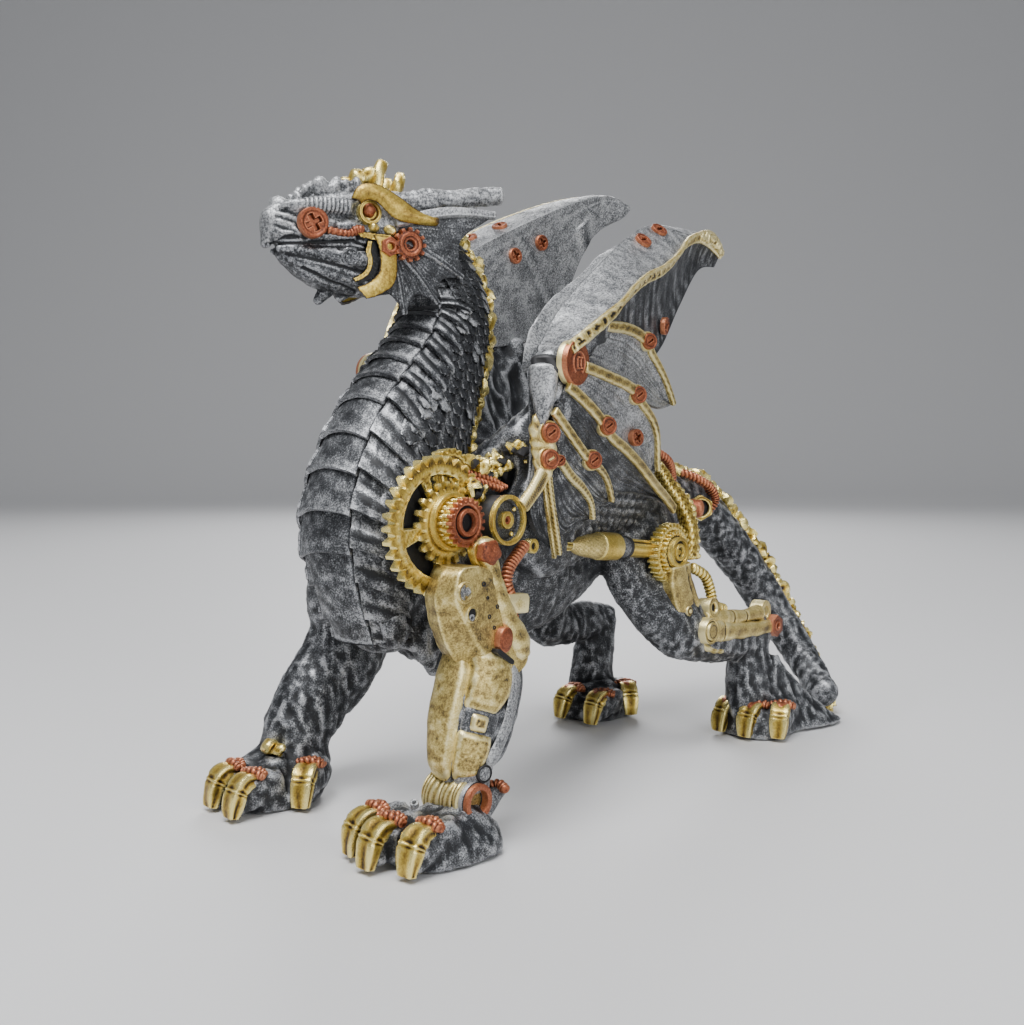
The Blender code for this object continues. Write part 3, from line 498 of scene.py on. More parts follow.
def edge_numbers(mesh):
    """How far each point stands out: the gap between it and the mean of its neighbours, along its normal, as a
    share of the spacing there, averaged once with the neighbours."""
    n = len(mesh.vertices)
    co, no = np.empty(n * 3), np.empty(n * 3)
    mesh.vertices.foreach_get("co", co)
    mesh.vertices.foreach_get("normal", no)
    co, no = co.reshape(-1, 3), no.reshape(-1, 3)
    ends = np.empty(len(mesh.edges) * 2, int)
    mesh.edges.foreach_get("vertices", ends)
    a, b = ends.reshape(-1, 2).T
    span = np.linalg.norm(co[a] - co[b], axis=1)
    count = np.bincount(a, minlength=n) + np.bincount(b, minlength=n) + 1e-9

    def spread(values):
        return (np.bincount(a, values[b], n) + np.bincount(b, values[a], n)) / count
    mean = np.stack([spread(co[:, i]) for i in range(3)], -1)
    size = (np.bincount(a, span, n) + np.bincount(b, span, n)) / count + 1e-9
    rise = ((co - mean) * no).sum(1) / size
    rise = 0.5 * rise + 0.5 * spread(rise)
    slow = rise
    for _ in range(8):
        slow = spread(slow)
    rise = rise - 0.5 * slow
    return np.tanh(rise / (np.quantile(np.abs(rise), 0.9) + 0.035))


def solid(name, parts, smooth=True, crisp=40.0):
    """One scene piece from its parts: joined into one mesh, moved from pose to frame, painted by finish number."""
    points, quads, tris, finish_q, finish_t, start = [], [], [], [], [], 0
    for p, q, t, f in parts:
        points.append(p)
        quads.append(q + start)
        tris.append(t + start)
        own_q, own_t = f if isinstance(f, tuple) else (np.full(len(q), f), np.full(len(t), f))
        finish_q.append(own_q)
        finish_t.append(own_t)
        start += len(p)
    points = np.clip((np.concatenate(points) - POSE_ORIGIN) * MM, *BOX)
    quads, tris = np.concatenate(quads), np.concatenate(tris)
    mesh = bpy.data.meshes.new(name)
    mesh.from_pydata(points, [], quads.tolist() + tris.tolist())
    used = sorted(set(np.concatenate(finish_q + finish_t).astype(int).tolist()))
    for f in used:
        mesh.materials.append(FINISHES[f])
    slots = np.searchsorted(used, np.concatenate(finish_q + finish_t).astype(int))
    mesh.polygons.foreach_set("material_index", slots.astype(np.int32))
    return show(name, mesh, smooth, crisp)


def show(name, mesh, smooth=True, crisp=40.0):
    """Links a mesh, shades it, stores its edge numbers and lets it ride on the casting."""
    mesh.validate()
    mesh.update()
    if smooth:
        mesh.shade_smooth()
        mesh.set_sharp_from_angle(angle=math.radians(crisp))
    values = np.clip(edge_numbers(mesh), -1, 1).astype(np.float32)
    mesh.attributes.new("edge", "FLOAT", "POINT").data.foreach_set("value", values)
    piece = bpy.data.objects.new(name, mesh)
    bpy.context.scene.collection.objects.link(piece)
    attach(piece, "root")
    tris = sum(len(p.vertices) - 2 for p in mesh.polygons)
    print(f"{name}: {tris} triangles")
    return piece


def fused(name, parts, voxel, smooth_steps=4, relief=None, finish=None):
    """A skin over overlapping shapes: they are joined in a grid of small cells, the seams are eased, and
    relief(points, normals) then moves each point along its normal by millimetres."""
    points, faces, start = [], [], 0
    for p, q, t, _ in parts:
        points.append(p)
        faces += (q + start).tolist() + (t + start).tolist()
        start += len(p)
    raw = bpy.data.meshes.new(name + "_raw")
    raw.from_pydata((np.concatenate(points) - POSE_ORIGIN) * MM, [], faces)
    rough = bpy.data.objects.new(name + "_raw", raw)
    bpy.context.scene.collection.objects.link(rough)
    cells = rough.modifiers.new("cells", "REMESH")
    cells.mode, cells.voxel_size, cells.adaptivity = "VOXEL", voxel * MM, 0.0
    ease = rough.modifiers.new("ease", "SMOOTH")
    ease.factor, ease.iterations = 0.5, smooth_steps
    depsgraph = bpy.context.evaluated_depsgraph_get()
    mesh = bpy.data.meshes.new_from_object(rough.evaluated_get(depsgraph))
    mesh.name = name
    bpy.data.objects.remove(rough, do_unlink=True)
    bpy.data.meshes.remove(raw)
    n = len(mesh.vertices)
    co, no = np.empty(n * 3), np.empty(n * 3)
    mesh.vertices.foreach_get("co", co)
    mesh.vertices.foreach_get("normal", no)
    co, no = co.reshape(-1, 3) / MM + POSE_ORIGIN, no.reshape(-1, 3)
    if relief:
        co = co + no * relief(co, no)[:, None]
        co[:, 2] = np.maximum(co[:, 2], 0.0)
        mesh.vertices.foreach_set("co", np.clip((co - POSE_ORIGIN) * MM, *BOX).ravel())
    mesh.materials.clear()
    for f in (finish[0] if finish else [D]):
        mesh.materials.append(FINISHES[f])
    if finish:
        k = len(mesh.polygons)
        centre = np.empty(k * 3)
        mesh.update()
        mesh.polygons.foreach_get("center", centre)
        mesh.polygons.foreach_set("material_index", finish[1](centre.reshape(-1,
            3) / MM + POSE_ORIGIN).astype(np.int32))
    return show(name, mesh, True, 180.0)


print("solid, show and fused are ready")

# %% [markdown]
# ## The body
# The trunk, neck, tail and fleshy legs are tubes that swell and shrink along smooth paths, the same paths as in the
# solid. Sinking them into each other and fusing them gives the flowing joints of a modelled figure. Muscle ridges
# and pitting come from noise afterwards.

# %% the fused skin
TORSO = [(1, 4, 70, 10, 13), (1, 14, 72, 17, 23), (0, 30, 71, 21.5, 31), (0, 48, 71, 22.5, 31),
         (0, 66, 71, 22.5, 30),
         (0, 84, 73, 20.5, 26), (0, 102, 76, 18.5, 18.5), (0, 120, 77, 19.5, 16.5), (0, 136, 79, 16.5, 13.5),
         (0, 150, 80, 12, 10.5)]
NECK = [(1, 16, 50, 14, 13), (1, 13, 66, 18, 18), (0, 13.5, 80, 20.5, 20.5), (0, 19, 98, 18.5, 18.5),
        (0, 28, 114, 15.6, 15.6), (1, 35, 128, 12.6, 12.6), (1, 37.5, 140, 11, 11), (0, 32, 151, 9.8, 9.8),
        (-2, 22, 156, 9, 9)]
TAIL = [(0, 134, 80, 14, 13), (2, 150, 80, 10.5, 10.5), (3, 166, 77, 9.5, 9), (6, 180, 66, 8.8, 8.2),
        (11, 193, 51, 8, 7.5), (17, 201, 36, 7.2, 6.8), (26, 204, 22, 6.4, 6), (36, 200, 12, 5.8, 5.6),
        (44, 193, 7.5, 5.4, 5.4)]


def thinner(rows, by):
    """The same path with its half sizes reduced, for the core under scales and plates."""
    out = np.asarray(rows, float).copy()
    out[:, 3:] -= by
    return out


body = tube(TORSO, 60, 60) + tube(thinner(NECK, 1.3), 60, 48) + tube(TAIL, 90, 40)
body += tube([(14, 26, 80, 14, 16), (23, 20, 74, 12, 17), (29, 18, 64, 9, 14), (34, 18, 54, 8, 12)], 30, 40)
body += tube([(-11, 30, 80, 14, 16), (-19, 27, 70, 13, 17), (-25.5, 25, 58, 11.5, 15), (-27, 26, 46, 11, 13),
              (-28, 22, 36, 11, 12.5), (-29, 13, 26, 10, 11.5), (-29, 6, 16, 9.6, 10.2), (-28, 5, 8, 9.6, 10.4)],
              50, 44)
body += tube([(-28, 26, 46, 8, 8), (-28, 34, 38, 5, 4)], 8, 20)
body += tube([(10, 110, 80, 14, 15), (17.5, 108, 72, 12.5, 19), (23.5, 107, 60, 9.2, 18.5),
              (29.5, 110, 48, 8.5, 14),
              (33, 116, 38, 8.2, 9.2)], 40, 44)
body += tube([(32, 112, 39, 6.8, 7.8), (33, 126, 36, 6.8, 7.8), (34, 142, 34, 6.5, 7.8), (34, 157, 33, 6.2, 7.2)],
             30, 32)
body += tube([(34, 158, 36, 6.3, 6.8), (34, 155, 27, 6.8, 8.2), (35, 153, 18, 7.2, 9.2), (36, 153, 8, 8.2, 10.6)],
             30, 32)
body += tube([(-10, 110, 78, 14, 15), (-19, 110, 68, 13, 18), (-25, 111, 55, 11.5, 16), (-28, 116, 43, 9.5, 12),
              (-28, 121, 34, 7.8, 8.8)], 40, 44)
body += tube([(-28, 117, 35, 6.8, 7.8), (-28, 130, 34, 6.8, 7.8), (-28, 142, 34, 6.5, 7.2),
              (-28, 151, 32, 6.2, 6.8)], 30, 32)
body += tube([(-28, 150, 36, 6.2, 6.8), (-28, 149, 27, 6.8, 7.8), (-28, 146, 18, 7, 8.8), (-27, 144, 8, 8.2, 10.6)],
             30, 32)


def paw(centre, heading, length, width, height):
    """A paw pad: a low loaf on a flat sole, its sections superellipses that close towards the top."""
    run = np.array([math.sin(heading), -math.cos(heading), 0])
    across = np.array([math.cos(heading), math.sin(heading), 0])
    level = np.array([0.0, 0.02, 0.12, 0.3, 0.5, 0.7, 0.85, 0.95, 1.0])
    size = np.array([0.95, 0.97, 0.99, 0.97, 0.86, 0.73, 0.62, 0.5, 0.38])
    angle = np.linspace(0, 2 * np.pi, 48, endpoint=False)
    c, s = np.cos(angle), np.sin(angle)
    reach = (np.abs(c) ** 2.8 + np.abs(s) ** 2.8) ** (-1 / 2.8)
    rings = (np.array([*centre, 0.0]) + run * (size[:, None] * length / 2 * reach * c)[..., None]
             + across * (size[:, None] * width / 2 * reach * s)[..., None]
             + np.array([0, 0, 1.0]) * (height * level[:, None] * (1 - 0.12 * c * level[:, None]))[..., None])
    return capped(rings, D)


body += paw((40, -2.5), math.radians(-8), 31, 24, 12) + paw((-28, -4), math.radians(-2), 29, 26, 14)
body += paw((38, 155), math.radians(-5), 25, 24, 13) + paw((-21, 137), math.radians(-5), 25, 26, 12)


def flesh(p, normal):
    """Millimetres of relief: long ropy muscle ridges on legs and tail, broken up by pitting."""
    legs = np.clip((62 - p[:, 2]) / 15, 0, 1)
    tail = np.clip((p[:, 1] - 150) / 20, 0, 1) * np.clip((p[:, 2] - 14) / 6, 0, 1)
    ropy = 1 - np.abs(fractal(p * np.array([1.0, 1.0, 0.38]), 5.0, 3, 11))
    grain = 1 - np.abs(fractal(p * np.array([1.0, 0.8, 1.0]), 2.3, 3, 12))
    pits = fractal(p, 2.2, 2, 29)
    low = np.clip(p[:, 2] / 3.0, 0, 1)
    limb = np.maximum(legs, tail)
    ropy = ropy + (0.5 * (grain - ropy) - 0.1) * (tail > legs)
    fur = 1 - np.abs(fractal(p * np.array([1.0, 0.8, 0.45]), 6.0, 3, 33))
    wall = np.clip((p[:, 2] - 78) / 8, 0, 1) * np.clip((112 - p[:, 1]) / 10, 0, 1) * np.clip((p[:, 1] - 30) / 6, 0,
        1)
    # overlapping rows of square scales on the flank, each higher at its rear edge
    row = (p[:, 2] + 0.10 * p[:, 1]) / 3.1
    shift = np.floor(row) * 0.43
    col = p[:, 1] / 4.6 + shift
    tile = 0.65 * (row - np.floor(row)) + 0.35 * (col - np.floor(col))
    gap = np.minimum(np.abs(row - np.round(row)), np.abs(col - np.round(col)) * 1.5)
    net = 0.75 * tile - 0.6 * np.exp(-(gap / 0.07) ** 2)
    flank = (np.clip((p[:, 1] - 62) / 3, 0, 1) * np.clip((100 - p[:, 1]) / 4, 0, 1) * np.clip((p[:, 2] - 74) / 2, 0,
        1)
             * np.clip((90 - p[:, 2]) / 3, 0, 1))
    # wandering swirls on the thigh: a slanting wave bent by noise
    curl = np.sin(1.5 * p[:, 1] + 0.9 * p[:, 2] + 6.5 * fractal(p, 6.5, 2, 41))
    thigh = (np.clip((p[:, 1] - 88) / 5, 0, 1) * np.clip((120 - p[:, 1]) / 6, 0, 1) * np.clip((66 - p[:, 2]) / 4, 0,
        1)
             * np.clip((p[:, 2] - 36) / 6, 0, 1))
    rest = (1 - limb) * (1 - wall) * (1 - flank)
    return low * ((0.95 * (ropy - 0.62) + 0.28 * pits) * limb * (1 - 0.6 * thigh) + 1.9 * (fur - 0.55) * wall * (1 - flank)
                  + net * flank * (1 - limb) + 0.13 * curl * thigh + (0.5 * fractal(p, 3.0, 3, 5)) * rest)


WALL = {1: 1.0, -1: 0.78}   # how far out each wing's arm stands, as a share of the left one
for hand in (1, -1):
    near = WALL[hand]
    rise, fall = (131, 29) if hand > 0 else (146, 10)
    body += tube([(13 * hand, 38, 86, 9, 10), (27 * hand * near, 39, 98, 8, 9), (36 * hand * near, 41, 107, 6, 6.5),
                  (38 * hand * near, 43, 116, 5.6, 6), (38.5 * hand * near, 43, 124, 5.5, 6)], 40, 30)
    body += loft([[(40 * hand * near, 38, 106), (18 * hand, 36, 100), (16 * hand, 34, 76),
                   (36 * hand * near, 27, 78)],
                  [(41.2 * hand * near, 46, 103.3), (18 * hand, 46, 104), (16 * hand, 48, 66),
                   (32.5 * hand, 45, 63)],
                  [(39.2 * hand * near, 62.6, 99.1), (18 * hand, 60, 104), (16 * hand, 66, 68),
                   (29.5 * hand, 66, 66)],
                  [(35 * hand, 84, 92), (17 * hand, 80, 98), (15 * hand, 86, 72), (27.5 * hand, 86, 72)],
                  [(28.4 * hand, 110, 82), (16 * hand, 106, 90), (14 * hand, 106, 74), (24.6 * hand, 106, 75)]], 60,
                  64)
    body += loft([[(33 * hand * near, 45, 122), (36.6 * hand * near, 46, 122), (26 * hand, 46, 92),
                   (18 * hand, 46, 92)],
                  [(31 * hand * near, 72, 130), (35.6 * hand * near, 74, 130), (25 * hand, 74, 90),
                   (16 * hand, 72, 90)],
                  [(29 * hand, 90, rise - 9), (33.6 * hand, 91, rise - 10), (23 * hand, 96, 86),
                   (15 * hand, 96, 86)],
                  [(26 * hand, 104, rise - fall), (29.6 * hand, 105, rise - fall), (21 * hand, 114, 84),
                   (14 * hand, 114, 84)]], 60, 64)
body += loft([[(out - thick, y, 0.2), (out - 0.3, y, 0.2), (lean - 0.3, y, top), (lean - thick * 0.7, y, top)]
              for y, out, lean, top, thick in ((152, 44, 43.5, 5, 4), (156, 47, 43, 17, 5),
                  (160.5, 49, 42.5, 27, 5),
                                               (164, 51, 43.5, 23, 5), (171, 53.5, 46.5, 15, 6),
                                               (179, 56, 50.5, 7.5, 7),
                                               (188, 55.5, 54, 1.5, 7))], 40, 40, 1)

CLAWS = [((25.5, -22), -0.25), ((35.5, -25.5), -0.12), ((46.5, -22.5), 0.0), ((-32, -23), -0.2),
         ((-19.5, -25), -0.05),
         ((-11.5, -7), 0.5), ((29.5, 141.5), -0.2), ((40.5, 140.5), -0.05), ((50.5, 146), 0.3), ((-24, 120), -0.2),
         ((-9.5, 119.5), -0.05), ((-6, 141), 0.9)]


def at_claw(claw, back, across, up):
    """A point given by its distance behind a claw's tip, across it and over the floor."""
    (x, y), heading = claw
    return (x - math.sin(heading) * back + math.cos(heading) * across,
            y + math.cos(heading) * back + math.sin(heading) * across, up)


for claw in CLAWS:
    side = at_claw(((0, 0), claw[1]), 0, 1, 0)
    body += tube([(*at_claw(claw, 16, 0, 7.5), 3.4, 4.6), (*at_claw(claw, 10, 0, 7.4), 3.3, 4.6),
                  (*at_claw(claw, 5.5, 0, 5.6), 2.9, 4.4),
                  (*at_claw(claw, 3.2, 0, 2.6), 2.5, 2.4)], 20, 24, side, 2.6)

# Tufts on the chest, at points worked out by a helper program.
CHEST_TUFTS = [(8, 7, 56), (13, 5, 55), (3, 19, 51), (8, 18, 50), (13, 17, 49), (3, 31, 45), (8, 8, 52),
               (13, 7, 51), (3, 21, 46), (8, 20, 45), (13, 19, 44), (3, 33, 40), (8, 10, 59), (13, 10, 58),
               (3, 24, 54), (9, 24, 52)]
for i, at in enumerate(CHEST_TUFTS):
    body += lump(at, 3.6, 60 + i, (1, 0.8, 1.25), 0.3, D, 12, 16)

skin = fused("body_skin", body, 1.16, 4, flesh,
             ([D, N], lambda p: (np.abs(p[:, 1] - 78) < 48) & (p[:, 2] > 44) & (p[:, 2] < 104)))
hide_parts("dragon")

# %% [markdown]
# ## Throat plates, side plates and scales
# The throat is covered by broad plates that overlap downwards. Beside them run ribbed side plates, and behind
# those the neck is covered with small rounded scales. All of them sit on the neck's own tube: a point is found
# from its station along the neck, its angle round it and how far it stands off.

# %% points on a tube


def on_tube(rows, t, angle, lift, side=ACROSS):
    """Points of a tube's surface: t counts its rows, angle runs round from the side arrow, and lift is the
    millimetres above the surface. The three arrays share one shape."""
    rows = np.asarray(rows, float)
    fine = curve(rows, 40 * (len(rows) - 1) + 1)
    _, across, deep = section_frames(fine[:, :3], side)
    k = np.clip(np.asarray(t, float), 0, len(rows) - 1.001) * 40
    i = k.astype(int)
    f = (k - i)[..., None]
    c, s = np.cos(angle)[..., None], np.sin(angle)[..., None]
    row = fine[i] * (1 - f) + fine[i + 1] * f
    a = across[i] * (1 - f) + across[i + 1] * f
    d = deep[i] * (1 - f) + deep[i + 1] * f
    lift = np.asarray(lift)[..., None]
    return row[..., :3] + a * ((row[..., 3:4] + lift) * c) + d * ((row[..., 4:5] + lift) * s)


FRONT = -np.pi / 2
EDGES = [0.05, 0.52, 0.98, 1.46, 1.98, 2.48, 2.92, 3.36, 3.78, 4.2, 4.62, 5.05, 5.5, 6.0, 6.5, 7.0]
SEAM = np.radians(np.interp(np.linspace(0, 7, 16), [0, 1.5, 3, 5, 7], [30, 28, 26, 38, 44]))


def throat_plate(k):
    """One throat plate: a sheet from the upper edge under its neighbour to a thick lower lip that stands out."""
    t0, t1 = EDGES[k], EDGES[k + 1] + 0.16
    s = np.linspace(0, 1, 13)[:, None]
    w = np.linspace(-1, 1, 28)[None]
    sag = 0.10 * (w ** 2 - 0.3)
    t = t0 - sag * 0.6 + (t1 - t0) * s
    angle = FRONT + w * np.interp(t, np.linspace(0, 7, 16), SEAM)
    lip = np.exp(-(s / 0.10) ** 2)
    side_lip = np.exp(-((1 - np.abs(w)) / 0.06) ** 2)
    lift = 1.75 - 1.45 * s ** 0.8 + 0.35 * lip + 0.3 * side_lip + 0.0 * w
    grid = on_tube(NECK, t, angle, lift)
    worn = fractal(grid.reshape(-1, 3), 3.0, 3, 40 + k).reshape(t.shape)
    grid = grid + unit(grid - on_tube(NECK, t, angle, lift - 1)) * (0.16 * worn)[..., None]
    return sheet(grid, 1.0, S)


def side_plate(k, hand):
    """One side plate: a raised bar along its lower edge with a sunk field above it, drooping to the rear."""
    s = np.linspace(0, 1, 12)[:, None]
    w = np.linspace(0, 1, 14)[None]
    t0, t1 = EDGES[k] + 0.06, EDGES[k + 1] + 0.14
    t = t0 + (t1 - t0) * s - 0.34 * w ** 1.2
    start = np.interp(t, np.linspace(0, 7, 16), SEAM)
    angle = FRONT + hand * (start + w * np.radians(39))
    bar_rise = 1.2 * (np.tanh((0.42 - s) * 14) * 0.5 + 0.5)
    rim = 0.45 * np.exp(-((s - 0.02) / 0.07) ** 2) + 0.35 * np.exp(-(w / 0.06) ** 2)
    grid = on_tube(NECK, t, angle, 0.25 + bar_rise + rim + 0.25 * (1 - s))
    worn = fractal(grid.reshape(-1, 3), 1.6, 3, 70 + k).reshape(t.shape)
    grid = grid + unit(grid - on_tube(NECK, t, angle, bar_rise - 1)) * (0.18 * worn)[..., None]
    return sheet(grid, 0.9, S)


def scale(rows, t0, a0, length, half, lift, seed, side=ACROSS):
    """One rounded scale: a tongue from t0 down to t0 - length, half an angle wide, tilted off the skin at its end."""
    s = np.linspace(0, 1, 6)[:, None]
    w = np.linspace(-1, 1, 5)[None]
    shape = np.where(s < 0.55, 0.9 + 0.1 * np.sin(s / 0.55 * np.pi / 2),
                     np.sqrt(np.maximum(1 - ((s - 0.55) / 0.47) ** 2, 0.02)))
    rng = np.random.default_rng(seed)
    t = t0 - length * (s - 0.10 * w ** 2 * s) + rng.normal(0, 0.015)
    angle = a0 + rng.normal(0, 0.02) + w * half * shape
    rise = lift * (0.1 + 0.9 * s ** 1.3) + 0.45 * (1 - w ** 2) - 0.2 + rng.normal(0, 0.1)
    return sheet(on_tube(rows, t, angle, rise + 0 * t, side), 0.7, S)


parts = []
for k in range(14):
    parts += throat_plate(k)
    for hand in (-1, 1):
        parts += side_plate(k, hand)
solid("throat_plates", parts)

parts = []
for hand in (-1, 1):
    for column in range(6):
        for row in range(34):
            t = 1.25 + row * 0.185 + 0.092 * (column % 2)
            start = np.interp(t, np.linspace(0, 7, 16), SEAM) + np.radians(30 + 15.5 * column)
            if t > 7.6 or start > np.radians(162):
                continue
            parts += scale(NECK, t, FRONT + hand * start, 0.36, np.radians(9.2), 1.75, row * 7 + column)
solid("neck_scales", parts)

# %% [markdown]
# ## The gold ridges
# A crust of gold nuggets runs down the back of the neck and along the tail. No two are alike, so each is a ball
# disturbed by its own few waves, and every third or fourth one is larger.

# %% nuggets
parts = []
for i in range(150):
    t = 0.95 + 6.4 * i / 149
    wander = 0.20 * math.sin(i * 2.4) + 0.13 * math.sin(i * 5.1)
    size = 1.3 + 0.7 * math.sin(i * 1.7) ** 2 if i % 4 else 2.5
    at = on_tube(NECK, np.array(t), np.array(np.pi / 2 - 0.44 + wander), np.array(1.8))
    parts += lump(at, size * 0.92, 300 + i, (0.95, 0.9, 1.15), 0.55, G, 7, 11)
for i in range(96):
    t = 0.75 + 7.1 * i / 95
    out = -np.radians(76) + 0.20 * math.sin(i * 2.7)
    size = (2.0 if i % 3 else 2.6) * (0.95 + 0.3 * math.sin(math.pi * min(i / 75, 1)) ** 2)
    at = on_tube(TAIL, np.array(t), np.array(out), np.array(0.8))
    at[1] = min(at[1], 212.6 - 1.15 * size)
    parts += lump(at, size * 0.86, 500 + i, (0.95, 1.1, 1.0), 0.52, G, 8, 11)
solid("gold_ridges", parts)

# %% [markdown]
# ## The head
# The head has its own frame: forwards, to the dragon's left and upwards from the base of the skull, turned
# 20 degrees towards its right. It is fused from tapering forms at a finer pitch, and the mouth line, nostrils and
# skin folds are carved in by distance to short lines in that frame.

# %% the head frame and its skin
HEAD_TURN = math.radians(20)
HEAD_BASE = np.array([-1.0, 24, 156])
HEAD_RUN = np.array([-math.sin(HEAD_TURN), -math.cos(HEAD_TURN), 0])
HEAD_SIDE = np.array([math.cos(HEAD_TURN), -math.sin(HEAD_TURN), 0])


def head(forward, left, up):
    """A point, or an array of points, given in the head's own frame."""
    f, l, u = (np.asarray(v, float)[..., None] for v in (forward, left, up))
    return HEAD_BASE + HEAD_RUN * f + HEAD_SIDE * l + np.array([0, 0, 1.0]) * u


def in_head(p):
    q = p - HEAD_BASE
    return q @ HEAD_RUN, q @ HEAD_SIDE, q[:, 2]


def muzzle(rows, n=40, m=44, square=2.5, finish=D):
    return tube([(*head(f, 0, up), wide, high) for f, up, wide, high in rows], n, m, HEAD_SIDE, square, finish)


def beside(rows, n=24, m=20, finish=D, square=2.0):
    """The same tube on both sides of the head: rows are forward, left, up, half width and half height."""
    out = []
    for s in (1, -1):
        out += tube([(*head(f, l * s, u), a, b) for f, l, u, a, b in rows], n, m, HEAD_SIDE, square, finish)
    return out


skull = muzzle([(-5, 0.5, 8, 11), (4, 2.5, 9.2, 12), (12, 4.0, 8.6, 11.4), (19, 4.9, 7.4, 9.0), (27, 4.4, 6.4, 6.8),
                (34, 3.6, 5.4, 6.0), (38.5, 2.6, 4.0, 4.6)])
skull += muzzle([(4, -5, 8.4, 8), (12, -6.6, 8.4, 7.9), (19, -7.2, 8.0, 7.2), (26, -6.2, 6.5, 6.1),
                 (32, -4.2, 5.0, 4.4),
                 (35, -3.2, 3.6, 2.8)])
skull += muzzle([(10, -1.4, 8.2, 3), (18, -1.4, 7.6, 2.8), (26, -1.6, 6.4, 2.4), (33, -1.8, 4.9, 2.0),
                 (36, -2.0, 3.8, 1.6)])
skull += tube([(*head(33, 0, 6), 3.8, 2.6), (*head(36, 0, 8.2), 3.4, 2.4), (*head(37.4, 0, 8.6), 2.4, 1.8)], 12, 20,
              HEAD_SIDE)
skull += tube([(*head(39.2, 0, 6.6), 2.4, 0.9), (*head(39.4, 0, 2.0), 3.4, 1.2), (*head(39.4, 0, -2.4), 2.6, 1.3)],
              16, 20,
              HEAD_SIDE)
skull += tube([(*head(22, 0, -12), 3.2, 2.6), (*head(25.6, 0, -16.6), 1.3, 1.1)], 8, 16, HEAD_SIDE)
skull += tube([(*head(17, 0, -13), 2.6, 2.0), (*head(19.4, 0, -15.4), 1.2, 1.0)], 8, 16, HEAD_SIDE)
skull += beside([(37.5, 2.2, 5.2, 1.2, 1.3), (34, 4.6, 7.6, 1.5, 1.6), (31, 5.6, 7.6, 1.9, 1.9),
                 (27, 6.4, 7.9, 2.1, 2.2),
                 (22, 6.8, 8.0, 2.0, 2.2), (18, 7.0, 8.2, 1.6, 1.8)])
skull += beside([(38, 3.0, 0.2, 0.9, 1.0), (33, 5.2, 1.0, 1.0, 1.0), (28, 6.2, 0.2, 1.0, 1.0),
                 (22, 6.9, 0.4, 1.1, 1.1),
                 (17.5, 7.4, 0.2, 1.2, 1.2)])
skull += beside([(37, 2.8, -3.4, 1.0, 0.9), (30, 5.0, -3.8, 1.2, 1.1), (24, 6.6, -4.6, 1.6, 1.8),
                 (19.4, 7.2, -5.4, 2.6, 2.8),
                 (15, 7.4, -5.6, 2.4, 2.6)])
skull += beside([(34, 3.2, -6.2, 0.9, 0.9), (26, 5.6, -8.8, 1.1, 1.1), (18, 6.8, -11.0, 1.2, 1.2),
                 (12, 7.0, -12.0, 1.2, 1.2)])
skull += beside([(22, 6.9, 2.6, 1.4, 1.3), (18, 7.6, 3.0, 1.5, 1.4), (14, 8.0, 2.0, 1.3, 1.2)])
for f, l, u, r in ((29.4, 2.4, 12.8, 1.5), (25.2, 3.0, 13.4, 1.9), (21.2, 3.4, 13.2, 2.0), (18.4, 3.6, 13.6, 1.8),
                   (31.6, 2.6, 10.4, 1.3), (15.6, 4.6, 14.4, 1.7)):
    for s in (1, -1):
        skull += lump(head(f, l * s, u), r, int(f * 10), (1, 1, 1.25), 0.25, D, 10, 14)


def line_distance(f, u, stops):
    """Distance in the side view from points to a broken line."""
    best = np.full(len(f), 99.0)
    for (af, au), (bf, bu) in zip(stops, stops[1:]):
        df, du = bf - af, bu - au
        t = np.clip(((f - af) * df + (u - au) * du) / (df * df + du * du), 0, 1)
        best = np.minimum(best, np.hypot(f - af - t * df, u - au - t * du))
    return best


FOLDS = [([(40, -2.4), (33, -1.9), (26, -1.6), (18, -0.9), (14, -1.8)], 0.6, 0.42),
         ([(37.6, 4.6), (33, 3.2), (31, -0.2)], 0.7, 0.5), ([(36.8, 6.6), (32.8, 5.0)], 0.6, 0.45),
         ([(38.2, 2.4), (33.6, 0.9)], 0.6, 0.45), ([(24.6, 5.4), (17.2, 5.6)], 0.9, 0.6),
         ([(35, -4.9), (26, -6.6), (17, -8.8), (11, -9.4)], 0.35, 0.4),
         ([(31, -8.4), (24, -11.6), (16, -14.0)], 0.7, 0.5), ([(22, -3.2), (15, -3.0)], 0.5, 0.4)]


def face_relief(p, normal):
    """Millimetres of relief on the head: folds are grooves, the ribbed muzzle is a wave, the rest is pitted."""
    f, l, u = in_head(p)
    out = 0.16 * fractal(p, 2.6, 3, 3) + 0.07 * noise(p, 0.8, 9)
    for stops, depth, width in FOLDS:
        out -= depth * np.exp(-(line_distance(f, u, stops) / width) ** 2) * (np.abs(l) > 1.5)
    ribbed = (f > 19) & (f < 31) & (u > 5.6) & (u < 10.2) & (np.abs(l) > 4.5)
    out += np.where(ribbed, 0.32 * np.sin(f * 2 * np.pi / 1.15 + u * 0.6), 0)
    nostril = np.exp(-(((f - 36.2) / 1.3) ** 2 + ((u - 6.4) / 0.9) ** 2)) * (np.abs(l) > 2)
    socket = np.exp(-(((f - 14.2) / 3.6) ** 2 + ((u - 7.4) / 3.0) ** 2) ** 2) * (np.abs(l) > 5)
    return out - 1.1 * nostril - 1.6 * socket


def silver_face(p):
    """The snout and brow are silver, the jaws dark."""
    f, l, u = in_head(p)
    return np.where(u + 0.7 * noise(p, 3.0, 4) > 3.0 - np.clip((f - 30) * 0.55, 0, 5), 1, 0)


fused("head_skin", skull, 0.43, 3, face_relief, ([D, P], silver_face))

# %% [markdown]
# ## Horns, ears and the machinery of the face
# The horns are rough rods. Each ear is a fan of thin skins between ribs, and the eyelids, jaw brackets, screws and
# the little cheek gear are plates and dials laid on the sides of the head.

